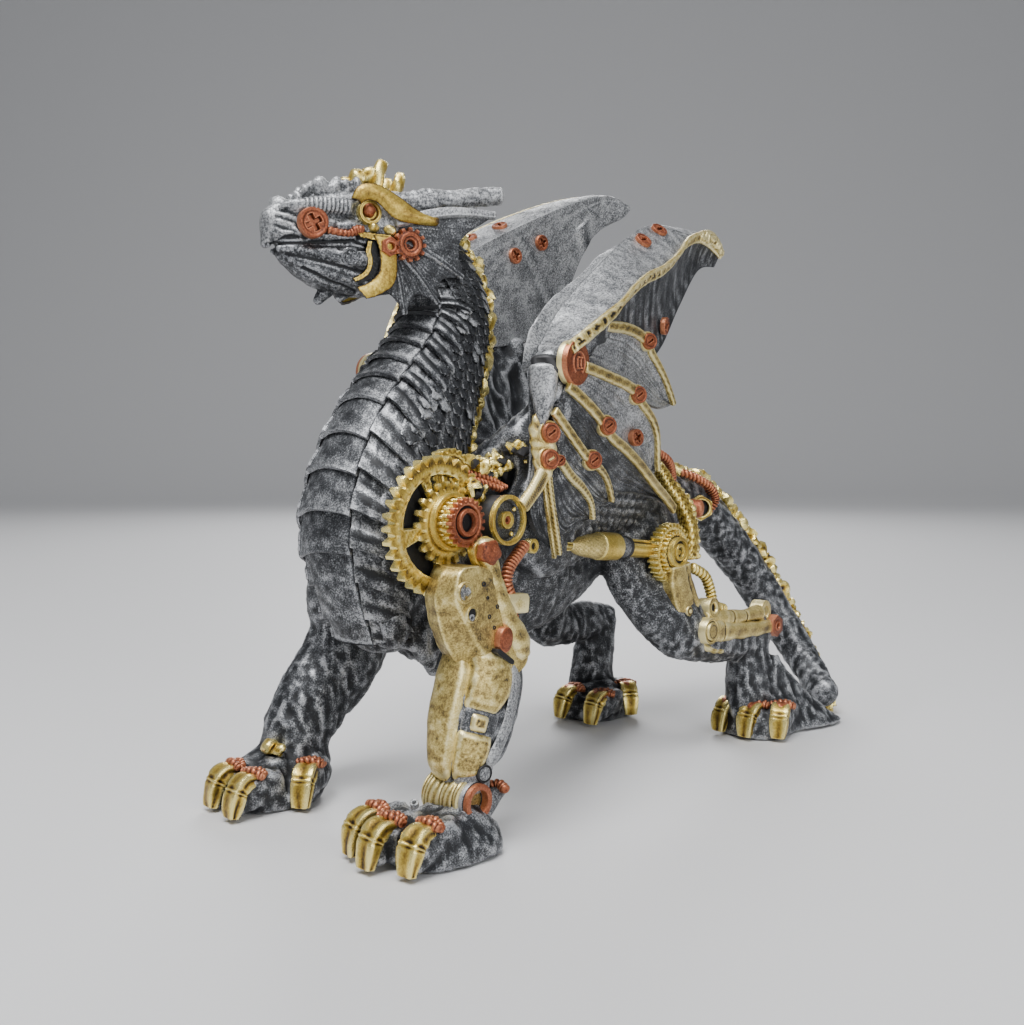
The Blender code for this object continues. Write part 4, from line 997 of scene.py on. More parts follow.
# %% horns and ears
parts = beside([(7, 5.6, 10.2, 2.8, 3.0), (-2, 6.8, 11.6, 2.7, 2.9), (-13, 7.8, 13.0, 2.5, 2.6),
                (-25.3, 8.6, 14.8, 2.7, 2.7)], 90, 44)
rough_parts = []
for p, q, t, f in parts:
    shove = 0.34 * fractal(p, 3.2, 3, 8) + 0.24 * noise(p, 1.0, 4)
    middle = p.reshape(-1, 3).mean(0)
    run = unit(p[-1] - p[-2])
    arm = p - middle
    arm = unit(arm - run * (arm @ run)[:, None])
    rough_parts.append((p + arm * shove[:, None], q, t, P))
solid("horns", rough_parts, crisp=60)


def web(root_a, tip_a, root_b, tip_b, sag, belly, thick=0.8, finish=D, n=18, m=22, streak=0.12, seed=1):
    """A skin between two ribs given as rows of points: w runs across, s from root to tip. sag pulls the free edge
    back in a scallop and belly lets the middle sink."""
    a, b = curve(np.array([root_a, tip_a], float), n), curve(np.array([root_b, tip_b], float), n)
    return web_between(a, b, sag, belly, thick, finish, m, streak, seed)


def web_between(a, b, sag, belly, thick=0.8, finish=D, m=22, streak=0.12, seed=1):
    n = len(a)
    w = np.linspace(0, 1, m)[None, :, None]
    reach = 1 - sag * 4 * (w * (1 - w)) ** 1.0
    s = np.linspace(0, 1, n)
    k = s[:, None, None] * reach * (n - 1)
    i = np.minimum(k.astype(int), n - 2)
    f = k - i
    pa = a[i[..., 0]] * (1 - f) + a[i[..., 0] + 1] * f
    pb = b[i[..., 0]] * (1 - f) + b[i[..., 0] + 1] * f
    grid = pa * (1 - w) + pb * w
    du, dv = np.gradient(grid, axis=0), np.gradient(grid, axis=1)
    normal = unit(np.cross(du, dv))
    fold = fractal(grid.reshape(-1, 3), 4.0, 3, seed).reshape(grid.shape[:2])
    ray = noise(np.stack([np.broadcast_to(w[..., 0] * 26, grid.shape[:2]).ravel(),
        (s[:, None] * 3 + 0 * w[0, :, 0]).ravel(),
                          np.full(grid.shape[0] * grid.shape[1], float(seed))], -1), 1.0,
                          seed).reshape(grid.shape[:2])
    sink = belly * 4 * w[..., 0] * (1 - w[..., 0]) * np.sin(np.clip(s[:, None], 0, 1) * np.pi * 0.7)
    return sheet(grid + normal * (sink + 0.25 * fold + streak * ray)[..., None], thick, finish)


parts = []
EAR = [((6, 9.6, 4.8), (-21.8, 12.8, 8.4)), ((4.2, 9.4, 0.2), (-12.6, 11.0, -9.0)),
       ((5.0, 9.2, -3.4), (-5.6, 10.0, -16.2)),
       ((6.6, 8.8, -4.4), (3.6, 8.8, -19.4)), ((8.2, 8.8, -4), (9.4, 8.2, -13.5))]
for s in (1, -1):
    ribs = [(head(a[0], a[1] * s, a[2]), head(b[0], b[1] * s, b[2] * (1 if s > 0 or b[2] > 0 else 0.62))) for a,
            b in EAR]
    for k, sag in enumerate((0.30, 0.26, 0.30, 0.10)):
        (ra, ta), (rb, tb) = ribs[k], ribs[k + 1]
        parts += web(ra, ta, rb, tb, sag, -0.7 * s, 1.0, D, seed=20 + k, m=26)
    for k, (r, t) in enumerate(ribs[:4]):
        size = (1.55, 1.15, 1.0, 0.95)[k]
        bend = (r + t) / 2 + np.array([0, 0, 1.6 if k == 0 else 0.5]) + HEAD_SIDE * s * 0.3
        parts += tube([(*r, size, size), (*bend, size, size), (*t, size * 0.75, size * 0.75)], 40, 16, HEAD_SIDE,
                      2.6,
                      P if k == 0 else D, relief=lambda t, a: -0.30 * np.exp(-((np.sin(a) + 0.2) / 0.3) ** 2))
solid("ear_fins", parts)

# %% the face's plates and screws


def between_lines(upper, lower, left, thick, s, finish=G, bulge=0.0, n=40, m=12, grain=0.06):
    """A curved strap in the head's side view between an upper and a lower line of the same number of stops."""
    a, b = curve(upper, n), curve(lower, n)
    w = np.linspace(0, 1, m)[None, :, None]
    flat = a[:, None] * (1 - w) + b[:, None] * w
    out = left[0] + (left[1] - left[0]) * np.linspace(0, 1, n)[:, None] + bulge * 4 * w[..., 0] * (1 - w[..., 0])
    out = out + grain * noise(np.dstack([flat * 2.2, out]).reshape(-1, 3), 1.0, 5).reshape(out.shape)
    grid = head(flat[..., 0], out * s, flat[..., 1])
    return sheet(grid, thick, finish)


def gear(centre, axis, radius, tooth, count, depth, height=None, finish=G, nr=24, per=10, soft=5.0):
    return dial(centre, axis, teeth(radius, tooth, count, soft=soft), height or (lambda s, a, r: 0 * r), depth, nr,
                count * per, finish)


parts = []
for s in (1, -1):
    side = HEAD_SIDE * s
    parts += between_lines([(18.6, 9.6), (17.0, 12.8), (12.6, 13.6), (6.5, 11.0), (1.0, 7.6), (-5.0, 5.8)],
                           [(17.0, 9.2), (14.6, 10.4), (11.4, 9.4), (8.4, 6.4), (5.0, 5.2), (-4.6, 5.0)],
                           (9.6, 11.4), 1.6, s,
                           G, 0.9)
    parts += dial(head(13.4, 6.8 * s, 7.0), side, lambda a: 3.3, ring_height((2.2, 3.3, 0.7)), 1.6, 16, 48, G)
    parts += lump(head(13.6, 8.4 * s, 7.4), 1.75, 77, (1, 1, 1), 0.10, C, 14, 24)
    parts += dial(head(13.8, 8.9 * s, 7.5), side, lambda a: 1.0, ring_height((0.0, 0.45, -0.35)), 1.05, 10, 24, C)
    parts += lump(head(12.6, 7.6 * s, 2.9), 2.0, 12, (1.5, 0.7, 0.7), 0.2, G, 12, 20)
    parts += lump(head(8.0, 8.4 * s, 2.6), 1.8, 13, (1.2, 0.8, 0.9), 0.12, G, 12, 20)
    parts += lump(head(14.4, 7.9 * s, 4.5), 1.3, 15, (1.3, 0.7, 0.6), 0.2, G, 12, 20)
    parts += between_lines([(17.6, 1.6), (13.4, 1.4), (8.2, 1.2)], [(16.4, 0.2), (12.2, -0.6), (7.4, -1.6)],
        (8.9, 9.6), 1.6, s, G)
    parts += between_lines([(13.0, 1.0), (11.4, -2.4), (10.9, -6.2), (11.8, -9.6), (14.4, -12.0), (17.6, -13.4)],
                           [(7.2, 0.6), (6.6, -3.6), (6.4, -8.2), (7.4, -12.0), (11.4, -14.6), (15.0, -15.8)],
                           (9.4, 8.6), 1.8, s,
                           G, 0.3)
    # A near-black strip sunk between the jaw's gold plates: painted shade in the seam.
    parts += between_lines([(12.4, 0.4), (13.3, -2.6), (13.0, -6.0), (14.0, -9.0), (17.4, -11.4)],
                           [(11.6, 0.0), (11.6, -2.8), (11.2, -6.2), (12.2, -9.6), (16.4, -12.2)], (8.3, 7.9), 1.4,
                           s, K)
    parts += between_lines([(14.4, -0.6), (15.0, -3.4), (14.4, -6.4), (15.6, -9.0), (18.6, -10.8)],
                           [(13.3, -0.6), (13.6, -3.4), (13.1, -6.4), (14.4, -9.6), (17.8, -11.6)], (9.0, 8.2), 1.5,
                           s, G)
    parts += dial(head(19.3, 7.6 * s, -5.2), side, lambda a: 2.4 + 0.12 * np.cos(6 * a),
                  slot_height(3, 1.5, 0.35, 0.5, 0.3),
                  2.1, 18, 48, D)
    # A small near-black disc with a sunk middle: painted shade.
    parts += dial(head(15.9, 8.2 * s, -6.4), side, lambda a: 1.5 + 0.9 * np.cos(a - 0.6) ** 2,
                  ring_height((0, 1.2, -0.5)), 0.9,
                  10, 32, K)
    parts += gear(head(3.1, 9.4 * s, -1.2), side, 3.6, 1.0, 12, 2.6,
                  ring_height((0.0, 1.2, -1.6), (2.2, 3.2, 0.35)), C)
    parts += dial(head(8.6, 9.0 * s, -2.0), side, lambda a: 2.5 / np.cos(((a + np.pi / 6) % (np.pi / 3)) - np.pi / 6) * 0.93,
                  ring_height((0.0, 0.9, -1.5), (0.9, 1.7, 0.25)), 2.4, 18, 48, C)
    parts += dial(head(28.9, 6.0 * s, 3.2), side, lambda a: 4.0 + 0.1 * np.sin(3 * a),
                  slot_height(2, 2.3, 0.72, 1.1, 0.4),
                  2.0, 22, 64, C)
    rod = [(24.6, 7.6, 1.6), (21.5, 8.2, 1.0), (19.0, 8.6, 1.0), (17.4, 9.0, 1.9), (15.8, 9.2, 2.0)]
    parts += tube([(*head(f, l * s, u), r, r) for (f, l, u), r in zip(rod, (1.0, 0.9, 0.95, 1.3, 1.1))], 40, 16,
                  HEAD_SIDE, 2.0,
                  C, relief=lambda t, a: 0.12 * np.sin(t * 60 + a))
    parts += tube([(*head(4.6, 4.4 * s, 12.5), 2.2, 1.9), (*head(3.6, 4.4 * s, 16), 2.0, 1.7),
                   (*head(2.6, 4.2 * s, 18.6), 1.3, 1.2)],
                  20, 16, HEAD_SIDE, 2.0, G, relief=lambda t, a: 0.2 * np.sin(3 * a + t * 7))
for i, (f, l, u, r) in enumerate(((18.4, 1.4, 15.0, 1.6), (16.2, -0.8, 16.0, 1.9), (14.2, 0.6, 17.4, 2.1),
    (13.0, -0.6, 18.0, 1.9),
                                  (11.6, 0.9, 18.0, 2.0), (10.2, -0.4, 18.2, 1.9))):
    parts += lump(head(f, l, u), r, 900 + i, (1.25, 1, 1.0), 0.28, G, 12, 18)
parts += tube([(*head(8.8, 0, 15), 2.6, 2.3), (*head(7.4, 0, 19.4), 2.3, 2.1), (*head(6.2, 0, 22.4), 1.5, 1.4)], 24,
              18,
              HEAD_SIDE, 2.0, G, relief=lambda t, a: 0.25 * np.sin(2 * a + t * 5))
solid("face_fittings", parts)
# %% [markdown]
# ## The wings
# Each upper wing is a wedge with a pale top panel, a dark outer face, a pale inner face and a near-black underside of
# painted shade, drawn as seven sections of four corners. Thin skins hang below it between gold ribs, one behind the
# other like tiles.

# %% the wedges
LEFT_WING = [((45.5, 40, 127), (34, 41.5, 128.1), (32, 42, 119), (41, 44, 118)),
             ((46, 58, 137.5), (33, 52.2, 139.5), (28, 60, 121), (40, 67, 120)),
             ((42, 77, 148), (31.5, 73.4, 154.6), (27, 80, 126), (38, 84, 124)),
             ((36, 100, 155.5), (27, 90.4, 163.4), (26, 96, 134), (34, 99.5, 130.5)),
             ((29, 122, 166.5), (22, 111.3, 170.6), (23, 114, 150), (28, 118.5, 145)),
             ((24, 142, 170.0), (19.5, 135.4, 171.6), (20, 133, 162), (23, 137, 158.5)),
             ((20.5, 155, 166.5), (18.5, 152.9, 167.0), (18.5, 151, 162), (20.0, 152, 161.5))]
RIGHT_WING = [((-34, 47, 129), (-23, 43, 131), (-25, 46, 118), (-34, 48, 117)),
              ((-43, 66, 152), (-31, 58, 150), (-27, 62, 126), (-40, 66, 124)),
              ((-43, 90, 170), (-30, 80, 163), (-27, 78, 132), (-40, 82, 130)),
              ((-39, 110, 180), (-28, 102, 174), (-28, 98, 134), (-37, 102, 132)),
              ((-33, 131, 188), (-25, 125, 184), (-28, 121, 142), (-34, 124, 142)),
              ((-26, 147, 191), (-21, 144, 190), (-24, 138, 173), (-27, 140, 173)),
              ((-19.5, 156, 187.5), (-18, 155, 187), (-19.5, 152, 183), (-20.5, 153, 183))]


def lines_of(rows, n):
    """The four corner lines of a wedge as smooth curves of n points, shape (4, n, 3)."""
    return curve(np.array(rows, float).reshape(len(rows), 12), n).reshape(n, 4, 3).transpose(1, 0, 2)


def wedge(rows, hand, n=96, m=30):
    """The wedge's four faces as one closed skin. Each face is ruled between two corner lines, its ends eased into
    the corners, and grooves and grain are added along its normal."""
    lines = lines_of(rows, n)
    out = []
    centre = lines.mean(0)
    # Face 2, the underside, is near-black: painted shade under the wing.
    for face, finish in ((0, P), (1, P), (2, K), (3, D)):
        a, b = lines[face], lines[(face + 1) % 4]
        w = np.linspace(0, 1, m)[None, :, None]
        grid = a[:, None] * (1 - w) + b[:, None] * w
        du, dv = np.gradient(grid, axis=0), np.gradient(grid, axis=1)
        normal = unit(np.cross(du, dv))
        outward = ((grid - centre[:, None]) * normal).sum(-1).mean() > 0
        normal = normal if outward else -normal
        s = np.linspace(0, 1, n)[:, None] + 0 * w[..., 0]
        v = w[..., 0] + 0 * s
        flat = grid.reshape(-1, 3)
        rise = 0.20 * fractal(flat, 5.0, 3, 50 + face).reshape(s.shape)
        if face == 0:
            rise += 0.10 * noise(flat * np.array([0.4, 1, 1]), 0.9,
                3).reshape(s.shape) - 0.5 * (np.exp(-(v / 0.03) ** 2))
            rise += 0.7 * v * (1 - v) * 2
            if hand > 0:
                rise -= 0.6 * np.exp(-((s - 0.70 + 0.04 * v) / 0.005) ** 2) * (v < 0.45)
        if face == 1:
            rise += 0.10 * noise(flat, 0.9, 6).reshape(s.shape) + 1.2 * v * (1 - v)
            rise -= 0.7 * np.exp(-((v - 0.09) / 0.010) ** 2)
            rise -= 0.7 * np.exp(-((s - 0.49 - 0.20 * v) / 0.005) ** 2) * (v > 0.09)
            rise += 0.9 * np.exp(-((s - 0.72 - 0.10 * v) / 0.02) ** 2) * (v > 0.3)
        if face == 3:
            ray = noise(np.stack([(s * 60).ravel(), (v * 2).ravel(), np.zeros(s.size)], -1), 1.0,
                        8).reshape(s.shape)
            rise += 0.16 * ray - 1.3 * np.sin(v * np.pi) * np.sin(np.clip(s, 0, 1) * np.pi)
        ease = np.minimum(1, np.minimum(v, 1 - v) / 0.06) * np.minimum(1, np.minimum(s, 1 - s) / 0.02)
        grid = grid + normal * (rise * ease)[..., None]
        faces = grid_faces(n, m, False)
        out.append((grid.reshape(-1, 3), faces if outward else faces[:, ::-1], np.zeros((0, 3), int), finish))
    for at, reach in ((0, 3.2), (-1, 0.8)):
        tip = lines[:, at]
        w = np.linspace(0, 1, 10, endpoint=False)[:, None]
        rim = np.concatenate([a * (1 - w) + b * w for a, b in zip(tip, np.roll(tip, -1, 0))])
        middle = rim.mean(0)
        way = unit(middle - lines[:, 5 if at == 0 else -6].mean(0)) * reach
        dome = np.array([middle + (rim - middle) * math.cos(q) + way * math.sin(q) for q in np.linspace(0, 1.5, 9)])
        out += capped(dome, P)
    return out


def strip(line, out_way, half, thick, finish=A, strokes=None, n=260, m=20, broad=None):
    """A gold strap along a line: a flat tube whose outer side carries raised rims and rows of cut strokes."""
    line = np.asarray(line, float)
    rows = curve(line, 12)
    wide = np.full(12, half) if broad is None else np.interp(np.linspace(0, 1, 12), *broad) * half
    full = np.concatenate([rows, wide[:, None], np.full((12, 1), thick)], 1)

    def relief(t, a):
        over = np.cos(a)
        face = np.abs(np.sin(a)) > 0.45
        rise = 0.07 * np.sin(t * 210 + 5 * a) * np.sin(t * 97 + 2 * a) + 0.12 * (np.abs(over) > 0.7)
        if strokes:
            cell = np.floor(t * strokes)
            seed = np.sin(cell * 12.9898) * 43758.5453
            seed = seed - np.floor(seed)
            u = t * strokes - cell - 0.5
            tilt = (seed - 0.5) * 1.1
            cut = (np.abs(u - tilt * over * 0.3) < 0.14) & (np.abs(over) < 0.62)
            bar_cut = (np.abs(over - (seed - 0.5)) < 0.16) & (np.abs(u) < 0.36) & (seed > 0.45)
            rise = rise - 0.5 * (cut | bar_cut) * face
        return rise
    return tube(full, n, m, out_way, 3.2, finish, relief=relief, blunt=0.3)


left_lines, right_lines = lines_of(LEFT_WING, 60), lines_of(RIGHT_WING, 60)
parts = wedge(LEFT_WING, 1) + wedge(RIGHT_WING, -1)
solid("wing_wedges", parts, crisp=35)

parts = strip(left_lines[0] + np.array([0.3, 0, -0.4]), (0, -0.75, -0.65), 1.7, 0.8, A, 34,
              broad=((0, 0.55, 0.75, 0.8, 0.9, 1), (1.0, 0.95, 1.0, 1.5, 1.5, 0.9)))
parts += strip(right_lines[0] + np.array([-0.9, 0, -1.5]), (0, -0.75, -0.65), 1.5, 0.8, A, 34)
for i in range(26):
    at = left_lines[0][44 + int(i * 0.58)]
    parts += lump(at + np.array([0.5, 0, -0.5 + 0.4 * math.sin(i * 2.1)]), 1.25 + 0.35 * math.sin(i * 1.3) ** 2,
                  700 + i, (0.8, 1.1, 1),
                  0.3, A, 9, 12)


def on_face(rows, face, s, v, lift=0.0):
    """A point and the outward arrow on a wedge face at shares s along and v across."""
    lines = lines_of(rows, 101)
    k = int(s * 100)
    a, b = lines[face], lines[(face + 1) % 4]
    here = a[k] * (1 - v) + b[k] * v
    normal = unit(np.cross(a[min(k + 1, 100)] - a[max(k - 1, 0)], b[k] - a[k]))
    if (here - lines[:, k].mean(0)) @ normal < 0:
        normal = -normal
    return here + normal * lift, normal


for rows, face, spots in ((LEFT_WING, 0, ((0.63, 0.68), (0.53, 0.72))),
    (RIGHT_WING, 1, ((0.50, 0.24), (0.59, 0.22), (0.30, 0.70))),
                          (LEFT_WING, 1, ((0.50, 0.30), (0.62, 0.26))), (RIGHT_WING, 0,
                              ((0.46, 0.52), (0.36, 0.34))),
                          (LEFT_WING, 3, ((0.50, 0.26),)), (RIGHT_WING, 3, ((0.50, 0.26), (0.35, 0.4)))):
    for s, v in spots:
        at, way = on_face(rows, face, s, v, -0.2)
        parts += screw(at, way, 2.7, 1.3, 2, C)
solid("wing_edges_and_screws", parts)

# %% [markdown]
# ## Ribs and skins
# Each skin hangs from one rib and runs to its tip; its lower edge follows the next rib as far as the knuckle and
# then turns out to that tip, so the skins lie one behind the other like tiles.

# %% ribs, skins and knuckles
RIBS = [((43.5, 58.6, 133.8), (43.2, 64.6, 133.8), (42.8, 72.4, 133.3), (42.0, 79.8, 130.7), (41.2, 84.2, 126.8),
         (40.4, 89.6, 122.9),
         (39.4, 94.9, 118.0), (38.4, 99.5, 113.0)),
        ((45.0, 47.1, 122.0), (45.0, 54.0, 120.6), (45.0, 61.8, 118.7), (44.6, 69.9, 116.6), (43.6, 74.9, 113.1),
         (42.4, 80.2, 110.3),
         (41.0, 85.9, 106.4), (39.6, 89.3, 102.0), (38.2, 91.4, 97.1), (37.0, 93.5, 92.8)),
        ((44.6, 40.3, 116.7), (44.8, 46.3, 113.3), (44.6, 53.3, 109.0), (44.0, 57.0, 106.2), (43.0, 62.4, 102.7),
         (41.6, 70.5, 99.4),
         (39.6, 81.3, 94.1), (37.0, 91.2, 88.9), (34.0, 101.2, 84.7), (31.6, 110.5, 79.8)),
        ((43.6, 35.7, 110.0), (43.6, 41.0, 105.3), (43.2, 48.5, 99.0), (42.6, 52.8, 96.7), (41.2, 59.2, 93.8),
         (39.2, 65.2, 89.8),
         (36.8, 70.3, 84.5)),
        ((42.6, 40.1, 96.2), (42.2, 44.7, 92.3), (41.0, 50.7, 89.2), (39.6, 56.5, 84.8), (37.4, 60.4, 80.0)),
        ((42.0, 35.3, 92.5), (41.6, 37.0, 85.8), (40.0, 40.8, 77.7), (38.0, 44.6, 71.1)),
        ((41.6, 33.6, 93.7), (41.2, 31.0, 90.0), (40.2, 26.9, 85.1))]
LOWER_EDGES = [((44.0, 48.4, 121.8), (44.0, 55.3, 120.4), (44.0, 63.2, 118.4), (43.0, 72.8, 116.2),
                (41.0, 82.2, 112.9), (39.4, 91.3, 111.5),
                (38.0, 99.8, 112.7)),
               ((43.6, 41.5, 116.5), (43.8, 47.6, 113.1), (43.6, 54.6, 108.7), (42.0, 63.7, 102.7),
                (40.6, 71.9, 99.2), (38.6, 82.8, 94.0),
                (37.4, 89.7, 90.5), (36.6, 94.0, 92.5)),
               ((42.6, 36.9, 109.8), (42.6, 42.2, 105.0), (42.2, 49.7, 98.7), (41.0, 55.8, 95.8),
                (39.0, 64.0, 91.3), (36.4, 72.4, 87.2),
                (35.6, 83.5, 86.3), (34.0, 96.3, 84.0), (32.0, 105.9, 82.2)),
               ((42.4, 38.2, 105.0), (41.8, 41.5, 95.8), (41.0, 46.4, 91.9), (40.0, 52.1, 88.9), (38.4, 58.8, 85.2),
                (37.0, 65.8, 83.1),
                (36.0, 71.5, 84.0)),
               ((41.0, 36.8, 92.5), (40.6, 38.6, 85.7), (39.4, 41.5, 79.5), (38.0, 46.3, 76.1), (37.4, 51.9, 77.9),
                (36.6, 61.6, 79.6)),
               ((40.8, 34.6, 93.3), (40.4, 32.4, 89.7), (39.8, 30.6, 85.2), (39.0, 32.8, 79.7), (38.2, 38.8, 75.0),
                (37.4, 44.9, 71.4))]
FRONT_EDGES = (((39.0, 36.4, 120.4), (40.0, 36.9, 113.0), (41.0, 37.0, 105.0), (41.0, 35.7, 98.4),
                (40.6, 34.2, 93.3), (39.6, 30.9, 88.6)),
               ((36.0, 33.8, 121.0), (36.4, 34.1, 113.0), (37.0, 33.9, 102.3), (37.4, 33.0, 94.3),
                (37.6, 31.5, 89.6), (37.0, 29.0, 85.7)))


def arm_side(point, hand):
    """A left-side point moved to the given side; the right arm is held closer to the neck."""
    x, y, z = point
    near = 1.0 if hand > 0 else 0.78 + 0.22 * min(1.0, max(0.0, (y - 45) / 15))
    return (x * hand * near, y, z)


def on_side(rows, hand, n):
    """A smooth line of n points through rows, on the given side."""
    return curve([arm_side(p, hand) for p in rows], n)


parts, gold = [], []
for hand in (1, -1):
    out = np.array([hand, 0, 0.0])
    for k in range(6):
        a, b = on_side(RIBS[k], hand, 36) - out * 0.3, on_side(LOWER_EDGES[k], hand, 36) - out * 0.5
        parts += web_between(a, b, 0.0, (1.6, 1.5, 1.2, 0.8, 0.5, 0.3)[k] * hand, 1.1, P if k < 2 else D, 34, 0.22,
            30 + k)
    front, back = (on_side(line, hand, 40) for line in FRONT_EDGES)
    parts += web_between(front, back, 0.0, 0.3, 1.2, D, 16, 0.2, 40)
    for k, rib in enumerate(RIBS[:6]):
        wide = (1.55, 1.5, 1.5, 1.3, 1.35, 0.62)[k]
        gold += strip(on_side(rib, hand, 10) + out * 0.3, (0, 0.35, 1), wide, 0.85, A, None, n=130,
                      broad=((0, 0.35, 0.55, 1), (0.95, 1.0, 0.8, 0.45)) if k in (0, 1, 3, 4) else None)
    gold += strip(on_side([(p[0] - 0.2, p[1] - 1.4, p[2] - 1.0) for p in RIBS[5]], hand, 8), (0, 0.35, 1), 0.4, 0.6,
                  A, None, n=60)
    gold += strip(on_side(RIBS[6], hand, 8) + out * 0.4, (0, 1, 0.4), 2.3, 1.1, A, None, n=90)
    # wrist: a dark band, the pale drop below it, and the gold plates either side of the elbow's knuckles
    drop = on_side([(40.0, 36.0, 121.5), (40.4, 35.4, 116.1), (41.0, 34.6, 111.8), (41.4, 33.8, 108.4),
                    (41.6, 33.2, 105.2)], hand, 5)
    parts += tube(np.c_[drop, (3.9, 3.7, 2.8, 1.7, 0.5), (2.6, 2.6, 2.2, 1.6, 0.6)], 40, 30, (0.75, 0.66 * hand, 0),
                  2.4, P,
                  relief=lambda t, a: 0.16 * np.sin(t * 21 + 3 * a) * np.sin(7 * a))
    parts += tube([(*arm_side(p, hand), 4.4, 3.2) for p in ((39.6, 38.0, 123.4), (39.8, 37.6, 121.8),
        (40.0, 37.2, 120.4))], 12, 36,
                  (0.75, 0.66 * hand, 0), 2.4, K, relief=lambda t, a: 0.2 * np.sin(5 * a + 3 * t))
    gold += tube([(*arm_side(p, hand), a, 1.4) for p,
                  a in (((39.6, 33.0, 109), 0.5), ((40.4, 33.0, 105.5), 2.4), ((41.2, 34.2, 101.5), 3.4),
                                                           ((41.6, 34.4, 97), 3.2), ((41.4, 34.0, 93), 2.2))], 40,
                                                           28, (0.55, 0.83 * hand, 0),
                 3.0, A, relief=lambda t, a: 0.14 * np.sin(t * 33 + 2 * a))
solid("wing_skins", parts)

# the folded inner panel that stands behind the left wrist
fold_far = [(31.5, 37.7, 127.5), (31.0, 40.8, 133.1), (30.0, 48.4, 140.2), (29.0, 54.4, 143.8), (28.0, 63.3, 148.1),
            (27.0, 74.0, 155.3),
            (26.0, 84.6, 160.1)]
fold_near = [(33.5, 44.2, 128.2), (33.0, 47.8, 134.8), (32.5, 54.1, 140.2), (31.5, 63.5, 146.7),
             (30.5, 72.8, 153.4), (29.0, 80.6, 157.9),
             (27.0, 89.9, 161.8)]
low = np.array([0.0, 1.5, 9.0])
sections = [[np.array(b), np.array(a), np.array(a) - low * f, np.array(b) - low * f]
            for a, b, f in zip(fold_far, fold_near, (0.8, 1.2, 1.8, 2.2, 2.2, 2.0, 1.2))]
fold = loft(sections, 60, 48, 2, P, lambda p: 0.25 * fractal(p, 4.0, 3, 71))
solid("wing_fold", fold)

for hand in (1, -1):
    side = (hand, -0.25, 0.05)
    for x, y, z, r in ((42.4, 79.8, 130.7, 2.5), (44.4, 71.9, 115.0, 2.6), (44.6, 57.2, 106.1, 2.7),
                       (43.0, 52.8, 96.7, 2.6),
                       (42.2, 35.2, 104.2, 2.9), (42.2, 34.9, 97.2, 2.9), (41.8, 39.4, 96.8, 1.6)):
        gold += dial(arm_side((x - 0.6, y, z), hand), side, lambda a, r=r: r * 1.14,
                     ring_height((r * 0.9, r * 1.2, 0.3)), 1.2, 10, 32, A)
        gold += dial(arm_side((x + 0.2, y, z), hand), side, lambda a, r=r: r * 0.94,
                     slot_height(1, r * 0.5, 0.32, 0.4, 0.35), 1.4, 18, 36, C)
    gold += screw(arm_side((40.4, 76.4, 102.7), hand), (hand, -0.1, 0.1), 2.5, 1.6, 2, C)

    def wrist_mark(share, angle, radius):
        x, y = radius * np.cos(angle), radius * np.sin(angle)
        rise = 0.5 * np.exp(-((radius - 3.0) / 0.35) ** 2) * (np.abs(angle - 4.7) > 0.6)
        rise = rise + 0.5 * np.exp(-((np.abs(x) - 0.9) / 0.3) ** 2) * (np.abs(y) < 1.6)
        return rise + 0.5 * np.exp(-((np.abs(y) - 1.5) / 0.3) ** 2) * (np.abs(x) < 1.1)

    gold += dial(arm_side((42.8, 42.8, 122.9), hand), (side[0], 0.14, 0), lambda a: 6.1, lambda s, a, r: 0 * r, 1.6,
                 12, 64, A)
    gold += dial(arm_side((43.6, 42.9, 122.9), hand), (side[0], 0.14, 0), lambda a: 6.0, wrist_mark, 2.4, 34, 80, C)
solid("wing_ribs_and_discs", gold)
# %% [markdown]
# ## Claws
# Every toe ends in a chisel-shaped gold claw with a twist of copper wire laid over its root.

# %% claws and wire
parts = []
for k, claw in enumerate(CLAWS):
    side = at_claw(((0, 0), claw[1]), 0, 1, 0)
    rows = [(*at_claw(claw, 8.6, 0, 10.2), 2.5, 1.5), (*at_claw(claw, 5.6, 0, 10.2), 3.0, 2.0),
            (*at_claw(claw, 3.2, 0, 7.8), 3.1, 2.2),
            (*at_claw(claw, 1.9, 0, 4.0), 2.7, 1.8), (*at_claw(claw, 1.3, 0, 1.2), 2.2, 1.1)]

    def facets(t, a, k=k):
        groove = -0.42 * (np.exp(-((t - 0.46) / 0.022) ** 2) + 0.6 * np.exp(-((t - 0.53) / 0.018) ** 2))
        return groove + 0.16 * np.sin(3 * a + k) + 0.20 * np.sin(9 * t + k * 1.7) * np.sin(a * 2 + k) - 0.2 * np.cos(a * 4)
    parts += tube(rows, 44, 40, side, 5.5, G, relief=facets, blunt=0.3)
    wire_up = 12.0 if k < 6 else 11.4
    tilt = 0.5 * math.sin(k * 2.0)
    ends = [(*at_claw(claw, 8.6 - tilt, -3.6, wire_up - 0.4), 1), (*at_claw(claw, 8.2, 0, wire_up + 0.5), 1),
            (*at_claw(claw, 8.6 + tilt, 3.6, wire_up - 0.5), 1)]
    parts += coil_tube([e[:3] for e in ends], 1.25, 1.5, 0.42, (0, 0, 1), C, 8)
    parts += coil_tube([at_claw(claw, 10.6 - tilt, -2.6, wire_up - 0.2), at_claw(claw, 10.4, 0.6, wire_up + 0.4),
                        at_claw(claw, 10.0 + tilt, 3.0, wire_up - 0.2)], 1.05, 1.4, 0.36, (0, 0, 1), C, 8)
    if k >= 6:
        parts += tube([(*at_claw(claw, 8.0, 0, 11.0), 2.6, 1.4), (*at_claw(claw, 5.6, 0, 10.9), 2.7, 1.5),
                       (*at_claw(claw, 4.2, 0, 9.6), 2.6, 1.4)],
                      14, 24, side, 3.0, C, relief=lambda t, a: 0.15 * np.sin(5 * a + t * 9))
    parts += lump(at_claw(claw, 9.4, 3.4, wire_up - 0.6), 1.0, 60 + k, (1, 1, 1), 0.2, C)
